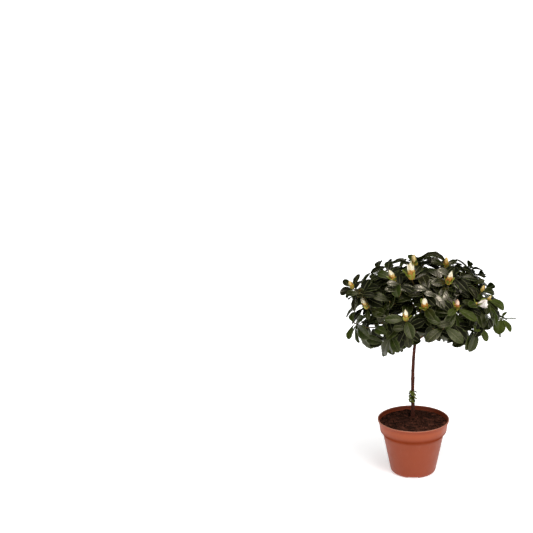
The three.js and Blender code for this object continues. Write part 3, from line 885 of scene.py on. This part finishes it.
def stem_radius(share, around):
    height = share * STEM_PATH.length
    lobes = 1 + 0.3 * math.cos(ROOT_LOBES * around)
    flare = ROOT_FLARE * math.exp(-height / ROOT_FLARE_HEIGHT) * lobes
    lower = lerp(STEM_FOOT_RADIUS, STEM_RADIUS, min(1, share * 3))
    upper = lerp(STEM_RADIUS, STEM_HEAD_RADIUS, max(0, share * 1.5 - 0.5))
    return (lower if share < 1 / 3 else upper) + flare


STEM_PATH = Path(stem_place, STEM_STEPS)


def limb(name, path, radius_at, look, sides, steps, relief, knob_every):
    """A woody limb: a round limb with bark ridges, and knobs where leaves once stood"""

    def bark_radius(share, turn, centre, out):
        height = share * path.length
        knob = math.exp(-(((height / knob_every) % 1 - 0.5) * knob_every / 1.3) ** 2)
        facing = 2.4 * math.floor(height / knob_every)
        ridges = noise.fractal(Vector((out.x * 2.2, out.y * 2.2, height * 0.09 + out.z)), 0.9, 2, 4)
        bulge = 0.55 * knob * max(0, math.cos(turn - facing)) ** 3
        return radius_at(share, turn) + (relief * ridges + bulge)

    surface = Surface()
    round_limb(surface, path, bark_radius, path.heading(1) * radius_at(1, 0) * 0.5, sides, steps)
    return surface.piece(name, [look], 60)


def stem():
    """The stem, its foot a little under the soil's surface"""
    foot = STEM_PATH.points[0] - UP * 1.2

    def place(share):
        if share < 1 / STEM_STEPS:
            return foot.lerp(stem_place(0), share * STEM_STEPS)
        return stem_place((share - 1 / STEM_STEPS) * STEM_STEPS / (STEM_STEPS - 1))

    path = Path(place, STEM_STEPS)
    bark = {"look": STEM_BARK, "sides": 20, "steps": 170, "relief": 0.3, "knob_every": 13}
    settle(limb("stem_bark", path, stem_radius, **bark), "bark", "stem")


class Mass:
    """One mass of foliage, with its hub, its bough and its shoots."""

    def __init__(self, label, hub, fork):
        self.label = label
        self.hub = hub
        self.shoots = []
        self.bough = None
        start = stem_at(fork)
        if label != "top":
            end = start.lerp(hub, BOUGH_END)
            out = end - start
            self.bough = bent(start, start + out * 0.4 + UP * 0.2 * out.length, end)
        carrier = self.bough or STEM_PATH
        foot = carrier.at(1)
        self.stalk = bent(foot, foot + carrier.heading(1) * 6, foot.lerp(hub, 0.7))


class Shoot:
    """One shoot: the place of its tip, its axis, and how its rosette hangs."""

    def __init__(
        self, tip, random, lean=OUTWARD_LEAN, hang=RIM_HANG, bend=BEND,
        bud=0, kind="cream", leaf=1, light=False,
    ):
        jitter_x, jitter_y = random() - 0.5, random() - 0.5
        out = Vector((tip.x - CROWN_X, tip.y - CROWN_Y, 0)) * (lean / CROWN_RIGHT)
        self.axis = (out + Vector((jitter_x * 0.4, jitter_y * 0.4, 1))).normalized()
        self.tip = tip
        self.hang = hang
        self.bud = bud
        self.kind = kind
        self.bend = bend
        self.leaf = leaf
        self.light = light
        self.random = random


def rim_level(azimuth):
    """Level of the crown's rim in a direction round it"""
    front = max(0, -math.sin(math.radians(azimuth)))
    off_arch = (azimuth - ARCH_AZIMUTH + 540) % 360 - 180
    arch = ARCH_LIFT * math.exp(-(off_arch / ARCH_WIDTH) ** 2)
    return RIM_LEVEL + RIM_LIFT * front ** 2 + RIM_SLOPE * math.cos(math.radians(azimuth)) + arch


def dome_point(azimuth, tilt, reach=1):
    """A place on the crown's dome: tilt 0 is its top, and 90 its rim"""
    cos, sin = math.cos(math.radians(azimuth)), math.sin(math.radians(azimuth))
    out = math.sin(math.radians(tilt)) ** FULLNESS * reach
    rise = max(0, math.cos(math.radians(tilt))) ** FULLNESS * (0.5 + 0.5 * reach)
    x = CROWN_X + out * cos * (CROWN_RIGHT if cos > 0 else CROWN_LEFT)
    y = CROWN_Y + out * sin * (CROWN_BACK if sin > 0 else CROWN_FRONT)
    return Vector((x, y, lerp(rim_level(azimuth), CROWN_TOP, rise)))


def hang_at(tilt):
    return RIM_HANG * smoothstep(tilt, 62, 90)


def shoots():
    """All the crown's main shoots: those at the front, over the rest of the dome, and under it"""
    streams = map(seeded_random, range(SEED + 37, SEED + 37 * 200, 37))
    found = [Shoot(random=next(streams), **long) for long in LONG_SHOOTS]
    for azimuth, tilt, bud, kind in FRONT_SHOOTS:
        tip = dome_point(azimuth, tilt)
        found.append(Shoot(tip, next(streams), hang=hang_at(tilt), bud=bud, kind=kind))
    named = list(found)
    for k in range(OUTER_SHOOTS):
        random = next(streams)
        down = min(1, (k + 0.25 + 0.5 * random()) / OUTER_SHOOTS)
        tilt = math.degrees(math.acos(1 - down))
        tip = dome_point(k * GOLDEN_TURN + 18 * (random() - 0.5), tilt, lerp(0.93, 1.07, random()))
        chance, size = random(), random()
        if any((other.tip - tip).length < SHOOT_SPACING for other in named):
            continue
        budded = tip.y > CROWN_Y + BEHIND and tip.z < BUD_LEVEL and chance < BUD_SHARE
        bud = lerp(*BUD_SIZES, size) if budded else 0
        found.append(Shoot(tip, random, hang=hang_at(tilt), bud=bud))
    for k in range(UNDER_SHOOTS):
        random = next(streams)
        azimuth = ((k + 0.3 * random()) / UNDER_SHOOTS) * 360
        tip = dome_point(azimuth, 90, UNDER_REACH + 0.2 * (random() - 0.5))
        tip.z -= 8 * random()
        found.append(Shoot(tip, random))
    return found


def masses():
    found = []
    for name, count, tilt, start, fork, fork_step in RINGS:
        for i in range(count):
            hub = HEART.lerp(dome_point(start + i / count * 360, tilt), HUB_DEPTH)
            label = f"{name}_{i + 1}" if count > 1 else name
            found.append(Mass(label, hub, fork + fork_step * ((i * FORK_STRIDE) % count)))
    return found


def inside_by(mass, crown, place):
    """Least distance from a place to the borders of a mass's space, below zero outside it"""
    least = math.inf
    for other in crown:
        if other is not mass:
            across = (mass.hub - other.hub).normalized()
            least = min(least, across.dot(place - (mass.hub + other.hub) / 2))
    return least


class Heading:
    """A leaf's direction once it has bent by an angle, from its turn round a twig and its spread."""

    def __init__(self, axis, turn, spread):
        side = axis.cross(UP)
        if side.length < 1e-3:
            side = Vector((1, 0, 0))
        self.axis = axis
        self.radial = Matrix.Rotation(math.radians(turn), 3, axis) @ side.normalized()
        self.spread = spread

    def __call__(self, bend):
        angle = math.radians(self.spread + bend)
        return self.axis * math.cos(angle) + self.radial * math.sin(angle)


def puffed(v, cup):
    """How high a blade's face stands over its rib at a place across it, in half widths"""
    return cup * abs(v) + 0.16 * math.sin(math.pi * min(1, abs(v) * 1.15))


def blade_points(
    root, heading, length, width, bend, roll=0, rows=LEAF_ROWS, cup=0.2, wave=0.05, thick=LEAF_THICKNESS
):
    """Points of a leaf: rows across an arching blade, top then underside, and its tip"""
    points = []
    spine = root.copy()
    last = 0
    for share, breadth in rows + [(1, 0)]:
        spine = spine + heading(bend * (share + last) / 2) * ((share - last) * length)
        last = share
        upper = heading(bend * share - 90)
        across = heading(bend * share).cross(upper)
        tilt = math.radians(roll) * math.sin(math.pi * 0.5 * share)
        across, upper = (
            across * math.cos(tilt) + upper * math.sin(tilt),
            upper * math.cos(tilt) - across * math.sin(tilt),
        )
        half = breadth * width / 2
        if not breadth:
            points.append(spine)
            continue
        for v in LEAF_ACROSS:
            ripple = wave * abs(v) * math.sin(share * 19 + 2.2 * v + roll)
            points.append(spine + across * (v * half) + upper * (half * (puffed(v, cup) + ripple)))
        for v in UNDER_ACROSS:
            lift = half * puffed(v, cup) - thick * (2 if v == 0 else 1)
            points.append(spine + across * (v * half) + upper * lift)
    return points


def blade_faces(rows=LEAF_ROWS):
    return ring_faces(len(rows), BLADE_SIDES)


def blade_places(rows=LEAF_ROWS):
    """Where each point of a leaf is on it: across from 0 to 1, and along from 0 to 1"""
    places = [((v + 1) / 2, share) for share, _ in rows for v in LEAF_ACROSS + UNDER_ACROSS]
    return places + [(0.5, 1)]


def add_blade(surface, points, look, rib=None, underside=None, rows=LEAF_ROWS):
    """Adds a leaf, scale or petal, all of one look unless its rib or underside has its own"""
    rib = look if rib is None else rib
    underside = look if underside is None else underside
    across = [look, look, rib, look, look] + [underside] * (len(UNDER_ACROSS) + 1)
    surface.add(points, blade_faces(rows), [underside] + across * len(rows), blade_places(rows))


def leaf_point(row, across):
    """A point's number among those of a leaf"""
    return row * BLADE_SIDES + across


LEAF_FACES = blade_faces()
MIDDLE_POINT = leaf_point(WIDEST_ROW, MIDDLE)
# Points at a leaf's widest and its tip, which stay within their mass's space
BORDER_POINTS = [leaf_point(WIDEST_ROW, LEFT_EDGE), leaf_point(WIDEST_ROW, RIGHT_EDGE), -1]
# Points down a leaf's middle, along its edges and at its tip, by which it may hide a bud
SEEN_POINTS = [leaf_point(row, MIDDLE) for row in range(1, 7)]
SEEN_POINTS += [leaf_point(row, edge) for row in (3, 4, 5) for edge in (LEFT_EDGE, RIGHT_EDGE)] + [-1]


class Neighbours:
    """The blades and buds grown so far, found by where they are, to see what a new leaf would cross."""

    CELL = 50

    def __init__(self):
        self.cells = {}
        self.buds = []

    def cell(self, place):
        return tuple(math.floor(part / self.CELL) for part in place)

    def crossed(self, tree, middle):
        """How many blades and buds a new leaf would cross"""
        count = 0
        for cell in itertools.product(*((part - 1, part, part + 1) for part in self.cell(middle))):
            for other, place in self.cells.get(cell, ()):
                if (place - middle).length < self.CELL:
                    count += len(tree.overlap(other)) > 0
        return count

    def hides(self, points):
        """Whether a leaf stands between a bud and the front"""
        for bud in self.buds:
            for i in SEEN_POINTS:
                apart = points[i] - bud
                ahead = apart.dot(BUD_OUTLOOK)
                if ahead > 2 and (apart - BUD_OUTLOOK * ahead).length < BUD_OPENING:
                    return True
        return False

    def keep(self, tree, middle):
        self.cells.setdefault(self.cell(middle), []).append((tree, middle.copy()))


def rosette_plan(shoot, count, length):
    """How a shoot's rosette is set, from its heart outwards"""
    plan = []
    for j in range(count):
        share = j / (count - 1)
        a, b, c, d = (shoot.random() * 2 - 1 for _ in range(4))
        plan.append({
            "back": 1 + share * ROSETTE_DEPTH,
            "turn": j * GOLDEN_TURN + 14 * a,
            "spread": lerp(INNER_SPREAD, OUTER_SPREAD, share ** 0.7) + shoot.hang * share + 9 * b,
            "length": length * lerp(0.66, 1, share ** 0.6) * (1 + 0.12 * c),
            "bend": shoot.bend * (1 + 0.35 * d),
            "age": 0 if share < 0.2 else 1,
        })
    return plan


def twig_plan(shoot, first, count, length):
    """How the leaves down a shoot's twig are set"""
    plan = []
    for j in range(count):
        a, b, c = (shoot.random() * 2 - 1 for _ in range(3))
        plan.append({
            "back": ROSETTE_DEPTH + 5 + 9 * j,
            "turn": (first + j) * GOLDEN_TURN + 20 * a,
            "spread": TWIG_LEAF_SPREAD + shoot.hang + 12 * b,
            "length": length * 0.86 * (1 + 0.12 * c),
            "bend": BEND,
            "age": 2,
        })
    return plan


def twig_path(start, tip, axis):
    """A twig between two places, arriving along an axis"""
    bend_point = (tip - axis * 0.45 * (tip - start).length).lerp(start, 0.25)
    return bent(start, bend_point, tip)


def roll_to_light(heading, bend, root):
    """How far a leaf twists, in degrees, to turn its face up and out of the crown"""
    light = UP + Vector((root.x - CROWN_X, root.y - CROWN_Y, 0)) * (OUTWARD_FACING / CROWN_RIGHT)
    light.y -= FRONT_FACING
    upper = heading(bend * 0.5 - 90)
    across = heading(bend * 0.5).cross(upper)
    return LIGHT_TWIST * math.degrees(math.atan2(-light.dot(across), light.dot(upper)))


def under_skirt(place):
    """Whether a place hangs too far below the crown's rim"""
    azimuth = math.degrees(math.atan2(place.y - CROWN_Y, place.x - CROWN_X)) % 360
    return place.z < rim_level(azimuth) - SKIRT


def grow_leaves(surface, mass, crown, twig, plan, near, looks):
    """Sets a shoot's leaves, each in the first way that crosses nothing, or else the least"""
    for leaf in plan:
        share = 1 - leaf["back"] / twig.length
        if share < LEAFLESS:
            continue
        root = twig.at(share)
        along = twig.heading(share)
        sway = 16 * math.sin(leaf["turn"] * 1.7)
        best = (MOST_CROSSED, None)
        for scale, turn, tuck in LEAF_TRIES:
            heading = Heading(along, leaf["turn"] + turn, leaf["spread"] + tuck)
            length = leaf["length"] * scale
            roll = min(75, max(-75, roll_to_light(heading, leaf["bend"], root))) + sway
            points = blade_points(root, heading, length, length * LEAF_WIDTH_SHARE, leaf["bend"], roll)
            if min(inside_by(mass, crown, points[i]) for i in BORDER_POINTS) < -OVER_BORDER:
                continue
            stands_up = points[-1].z > twig.points[-1].z + STANDS_UP
            if stands_up or near.hides(points) or under_skirt(points[-1]):
                continue
            tree = BVHTree.FromPolygons(points, LEAF_FACES)
            crossed = near.crossed(tree, points[MIDDLE_POINT])
            if crossed < best[0]:
                best = (crossed, points, tree)
            if not crossed:
                break
        if best[1]:
            near.keep(best[2], best[1][MIDDLE_POINT])
            add_blade(surface, best[1], looks[leaf["age"]], RIB, UNDERSIDE)


def bud(surface, tip, axis, size, kind):
    """A bud: a core with petals rolled round it, in a cup of pointed scales"""
    length, radius = BUD_LENGTH * size, BUD_RADIUS * size
    sides = BUD_PETALS * 2
    side = axis.orthogonal().normalized()
    other = axis.cross(side)
    points = []
    for height, breadth in BUD_ROWS:
        for i in range(sides):
            turn = 2 * math.pi * i / sides + BUD_TWIST * height
            ridge = 1 if i % 2 else BUD_CREASE
            out = (side * math.cos(turn) + other * math.sin(turn)) * (radius * breadth * ridge)
            points.append(tip + axis * (height * length) + out)
    points.append(tip + axis * length)
    faces = ring_faces(len(BUD_ROWS), sides)
    petal, foot = KINDS[kind]
    looks = [foot] * (1 + BUD_FOOT_ROWS * sides) + [petal] * ((len(BUD_ROWS) - BUD_FOOT_ROWS) * sides)
    surface.add(points, faces, looks)
    for i in range(BUD_PETALS):
        heading = Heading(axis, i / BUD_PETALS * 360, 20)
        root = tip + heading.radial * (0.5 * radius)
        reach = length * (1 + 0.11 * math.sin(4 * i + 20 * size))
        bend = OPENING_BEND if size > TWIN_BUDS else CLOSED_BEND
        form = {"rows": ROLLED_ROWS, "cup": 0.45, "wave": 0, "thick": PETAL_THICKNESS}
        rolled = blade_points(root, heading, reach, radius * 1.3, bend, 20, **form)
        looks = [foot] * (1 + BLADE_SIDES * 2) + [petal] * (BLADE_SIDES * (len(ROLLED_ROWS) - 2))
        surface.add(rolled, blade_faces(ROLLED_ROWS), looks, blade_places(ROLLED_ROWS))
    cup(surface, tip, axis, size)
    return BVHTree.FromPolygons(points, faces)


def cup(surface, tip, axis, size):
    """Two rings of scales round a bud's foot, the inner ones brown and the outer ones green"""
    length, radius = BUD_LENGTH * size, BUD_RADIUS * size
    rings = ((5, 0.7, 20, SCALE, 0, 0.86), (5, 0.5, 31, SEPAL, 36, 0.84))
    for count, reach, spread, look, start, out in rings:
        for i in range(count):
            heading = Heading(axis, start + i / count * 360, spread)
            root = tip - axis * (0.12 * length) + heading.radial * (out * radius)
            long = length * reach * (1 + 0.22 * math.sin(5 * i + size * 9))
            form = {"rows": SCALE_ROWS, "cup": 0.5, "wave": 0, "thick": PETAL_THICKNESS}
            points = blade_points(root, heading, long, radius * 1.75, bend=-40, **form)
            add_blade(surface, points, look, rows=SCALE_ROWS)


def blossom(surface, tip, axis, size):
    """A half-open blossom: frilled petals folded over one another, leaning out of the bud's cup"""
    for ring, (count, spread, reach) in enumerate(BLOSSOM_RINGS):
        for i in range(count):
            heading = Heading(axis, i / count * 360 + 31 * ring, spread)
            length = BUD_LENGTH * size * reach
            form = {"rows": PETAL_ROWS, "cup": 0.3, "wave": 0.16, "thick": PETAL_THICKNESS}
            points = blade_points(tip, heading, length, length * 0.5, 20, 14, **form)
            add_blade(surface, points, OPEN, rows=PETAL_ROWS)
    cup(surface, tip, axis, size * 0.5)


def young_leaves(surface, shoot, size):
    """The small pale leaves that stand round a bud's foot"""
    for j in range(YOUNG_LEAVES):
        heading = Heading(shoot.axis, 40 + j * GOLDEN_TURN, lerp(*YOUNG_SPREADS, shoot.random()))
        length = size * lerp(*YOUNG_LENGTHS, shoot.random())
        points = blade_points(shoot.tip - shoot.axis * 2, heading, length, length * 0.36, -18, 0)
        add_blade(surface, points, YOUNG)


def leaf_tones(shoot, fine=False):
    """The looks of a shoot's youngest leaves, of its rosette and of the old leaves down its twig, chosen
    by height: the shaded and near-black old looks are painted shade inside the crown
    """
    chance = shoot.random()
    if fine:
        # Side shoots lie deep in the crown: their rosettes and twigs take dark looks as painted shade
        return (FULL if shoot.tip.z > HIGH_TONES else SHADED, OLD_AND_SHADED, OLD_AND_SHADED)
    if shoot.tip.z > HIGH_TONES:
        return (FULL, DARK, OLD_AND_SHADED) if chance < 0.75 else (FRESH, FULL, OLD_AND_SHADED)
    if chance < (0.45 if shoot.tip.x < PALE_SIDE else 0.2):
        return (LIGHT, FRESH, SHADED)
    if shoot.tip.z > LOW_TONES:
        return (SHADED, SHADED, OLD_AND_SHADED) if chance < 0.7 else (FRESH, SHADED, OLD_AND_SHADED)
    return (FRESH, SHADED, SHADED) if chance < 0.7 else (SHADED, SHADED, OLD_AND_SHADED)


def side_shoots(mass, crown, shoot, twig):
    """Finer shoots that branch from a main shoot's twig and end within the crown"""
    found = []
    for k in range(SIDE_SHOOTS):
        share = lerp(*SIDE_PLACES, k / (SIDE_SHOOTS - 1))
        turn, reach = 360 * shoot.random(), SIDE_LENGTH * lerp(0.8, 1.25, shoot.random())
        start = twig.at(share)
        way = Heading(twig.heading(share), turn, SIDE_SPREAD)(0)
        tip = start + (way + UP * 0.35).normalized() * reach
        if inside_by(mass, crown, tip) < -8 or tip.z < LOWEST_SIDE_SHOOT:
            continue
        side = Shoot(tip, shoot.random, hang=shoot.hang)
        found.append((side, twig_path(start, tip, side.axis)))
    return found


def arching_leaf(surface):
    """The long leaf that arches over the crown's top"""
    width = ARCH_LENGTH * ARCH_BREADTH
    points = blade_points(ARCH_ROOT, Heading(UP, 0, 12), ARCH_LENGTH, width, ARCH_BEND, -15)
    add_blade(surface, points, DARK, RIB, UNDERSIDE)


def sprig(surface, shoot):
    """The few pale leaves at the end of the long shoot on the right"""
    for azimuth, spread, bend, length, breadth in SPRIG_LEAVES:
        heading = Heading(UP, azimuth, spread)
        points = blade_points(shoot.tip, heading, length, length * breadth, bend, 10)
        add_blade(surface, points, LIGHT, LIGHT, UNDERSIDE)


def shoot_end(buds, leaves, shoot, near):
    """What a shoot bears at its tip: a bud, twin buds or a blossom, and the young leaves round it"""
    size = shoot.bud
    if shoot.kind == "open":
        blossom(buds, shoot.tip - BLOSSOM_AXIS * BLOSSOM_SINK, BLOSSOM_AXIS, size)
    elif size:
        near.keep(bud(buds, shoot.tip, shoot.axis, size, shoot.kind), shoot.tip)
    if size:
        young_leaves(leaves, shoot, size)
    if shoot.kind == "cream" and size > TWIN_BUDS:
        aside = (shoot.axis + Vector((0.5, -0.35, 0))).normalized()
        bud(buds, shoot.tip + aside * 4 - UP * 3, aside, TWIN_SIZE, "yellow")


def grow_mass(mass, crown, near):
    """One mass: its stalk, twigs, buds and leaves, each kind in a piece of its own"""
    twigs, leaves, buds = Surface(), Surface(), Surface()
    tube(twigs, mass.stalk, *STALK_RADII, sides=8, steps=8, rough=0.25)
    start = mass.stalk.at(0.75)
    grown = []
    if mass.label == "top":
        arching_leaf(leaves)
    for shoot in mass.shoots:
        twig = twig_path(start, shoot.tip, shoot.axis)
        tube(twigs, twig, *TWIG_RADII, sides=7, steps=12, rough=0.2)
        shoot_end(buds, leaves, shoot, near)
        if shoot.light:
            sprig(leaves, shoot)
            continue
        plan = rosette_plan(shoot, ROSETTE_LEAVES, LEAF_LENGTH * shoot.leaf)
        more = LOW_TWIG_LEAVES if shoot.tip.z < LOW_SHOOTS else TWIG_LEAVES
        plan += twig_plan(shoot, ROSETTE_LEAVES, more, LEAF_LENGTH)
        grown.append((twig, plan, leaf_tones(shoot)))
        for side, path in side_shoots(mass, crown, shoot, twig):
            tube(twigs, path, *SIDE_TWIG_RADII, sides=5, steps=6, rough=0.1)
            fine = rosette_plan(side, SIDE_LEAVES, LEAF_LENGTH * SIDE_LEAF_SHARE)
            fine += twig_plan(side, SIDE_LEAVES, 1, LEAF_LENGTH * SIDE_LEAF_SHARE)
            grown.append((path, fine, leaf_tones(side, fine=True)))
    grown.sort(key=lambda entry: -len(entry[1]))
    for twig, plan, looks in grown:
        grow_leaves(leaves, mass, crown, twig, plan, near, looks)
    node = f"foliage_{mass.label}"
    settle(twigs.piece(f"twigs_{mass.label}", [TWIG_BARK]), "bark", node)
    settle(leaves.piece(f"leaves_{mass.label}", LEAF_LOOKS), "foliage", node)
    if buds.faces:
        settle(buds.piece(f"buds_{mass.label}", BUD_LOOKS), "foliage", node)


def tuft():
    """The small leaves that hug the stem low on its front"""
    surface = Surface()
    for j in range(TUFT_LEAVES):
        share = j / (TUFT_LEAVES - 1)
        place = stem_at(lerp(*TUFT_LEVELS, share))
        azimuth = TUFT_FACING + TUFT_SPREAD * (2 * (j * 0.618 % 1) - 1)
        heading = Heading(UP, azimuth, lerp(*TUFT_HANGS, (j * 0.29) % 1))
        length = lerp(*TUFT_LENGTHS, (j * 0.37) % 1)
        root = place + heading.radial * (STEM_RADIUS - 0.6)
        points = blade_points(root, heading, length, length * 0.85, 30, 12)
        add_blade(surface, points, LIGHT if j % 3 == 0 else YOUNG)
    settle(surface.piece("leaves_tuft", LEAF_LOOKS), "foliage", "foliage_tuft")


def bough_radius(share, _):
    return lerp(BOUGH_RADIUS, BOUGH_TIP_RADIUS, share)


def crown():
    """The boughs and every mass of the crown"""
    found = masses()
    near = Neighbours()
    for shoot in shoots():
        max(found, key=lambda mass: inside_by(mass, found, shoot.tip)).shoots.append(shoot)
        if shoot.bud and shoot.tip.y < CROWN_Y:
            near.buds.append(shoot.tip + shoot.axis * (0.45 * BUD_LENGTH * shoot.bud))
    for mass in found:
        if mass.bough:
            bark = {"look": BOUGH_BARK, "sides": 14, "steps": 34, "relief": 0.25, "knob_every": 15}
            made = limb(f"bark_{mass.label}", mass.bough, bough_radius, **bark)
            settle(made, "bark", f"bough_{mass.label}")
    for mass in found:
        grow_mass(mass, found, near)


def camera():
    """A long lens that sees the middle of the rim where the photograph has it"""
    focal = PHOTO_WIDTH / 2 / math.tan(math.radians(FIELD_OF_VIEW / 2))
    distance = focal / PIXELS_PER_MM
    down = math.radians(ELEVATION)
    place = Vector((0, -math.cos(down), math.sin(down))) * distance + UP * POT_HEIGHT
    ray = Vector((RIM_PIXEL[0] - PHOTO_WIDTH / 2, PHOTO_WIDTH / 2 - RIM_PIXEL[1], -focal)).normalized()
    yaw, pitch = 0, -down
    for _ in range(60):
        turn = Matrix.Rotation(yaw, 3, "Z") @ Matrix.Rotation(pitch + math.pi / 2, 3, "X")
        turn = turn @ Matrix.Rotation(math.radians(ROLL), 3, "Z")
        seen = turn @ ray
        yaw += math.atan2(seen.x, seen.y)
        pitch -= math.asin(seen.z) + down
    made = added(bpy.ops.object.camera_add, location=place * MM, rotation=turn.to_euler())
    made.data.angle = math.radians(FIELD_OF_VIEW)
    made.data.clip_end = 50
    bpy.context.scene.camera = made


def softbox(name, place, size, power):
    """A large soft lamp turned towards the crown"""
    lamp = added(bpy.ops.object.light_add, type="AREA", location=place)
    lamp.name = name
    lamp.data.shape = "SQUARE"
    lamp.data.size = size
    lamp.data.energy = power
    lamp.rotation_euler = (Vector((0, 0, 0.2)) - Vector(place)).to_track_quat("-Z", "Y").to_euler()


def studio():
    """A pale floor in even light, with softboxes above and at both sides"""
    scene = bpy.context.scene
    world = bpy.data.worlds.new("studio")
    world.use_nodes = True
    world.node_tree.nodes["Background"].inputs["Color"].default_value = (1, 1, 1, 1)
    world.node_tree.nodes["Background"].inputs["Strength"].default_value = WORLD_LIGHT
    scene.world = world
    scene.view_settings.view_transform = "Standard"
    floor = added(bpy.ops.mesh.primitive_plane_add, size=FLOOR_SIZE, location=(0, 0, FLOOR_LEVEL))
    floor.name = "floor"
    pale = Finish("floor_paper", "fcfcfc", 0.9, specular=0.1)
    pale.shader.inputs["Emission Color"].default_value = linear("ffffff")
    pale.shader.inputs["Emission Strength"].default_value = FLOOR_GLOW
    floor.data.materials.append(pale.material)
    turn = [math.radians(angle) for angle in SUN_TURN]
    for name, energy, breadth in SUNS:
        lamp = added(bpy.ops.object.light_add, type="SUN", rotation=turn)
        lamp.name = name
        lamp.data.energy = energy
        lamp.data.angle = math.radians(breadth)
    for box in SOFTBOXES:
        softbox(*box)


camera()
studio()
pot()
soil()
litter()
stem()
crown()
tuft()
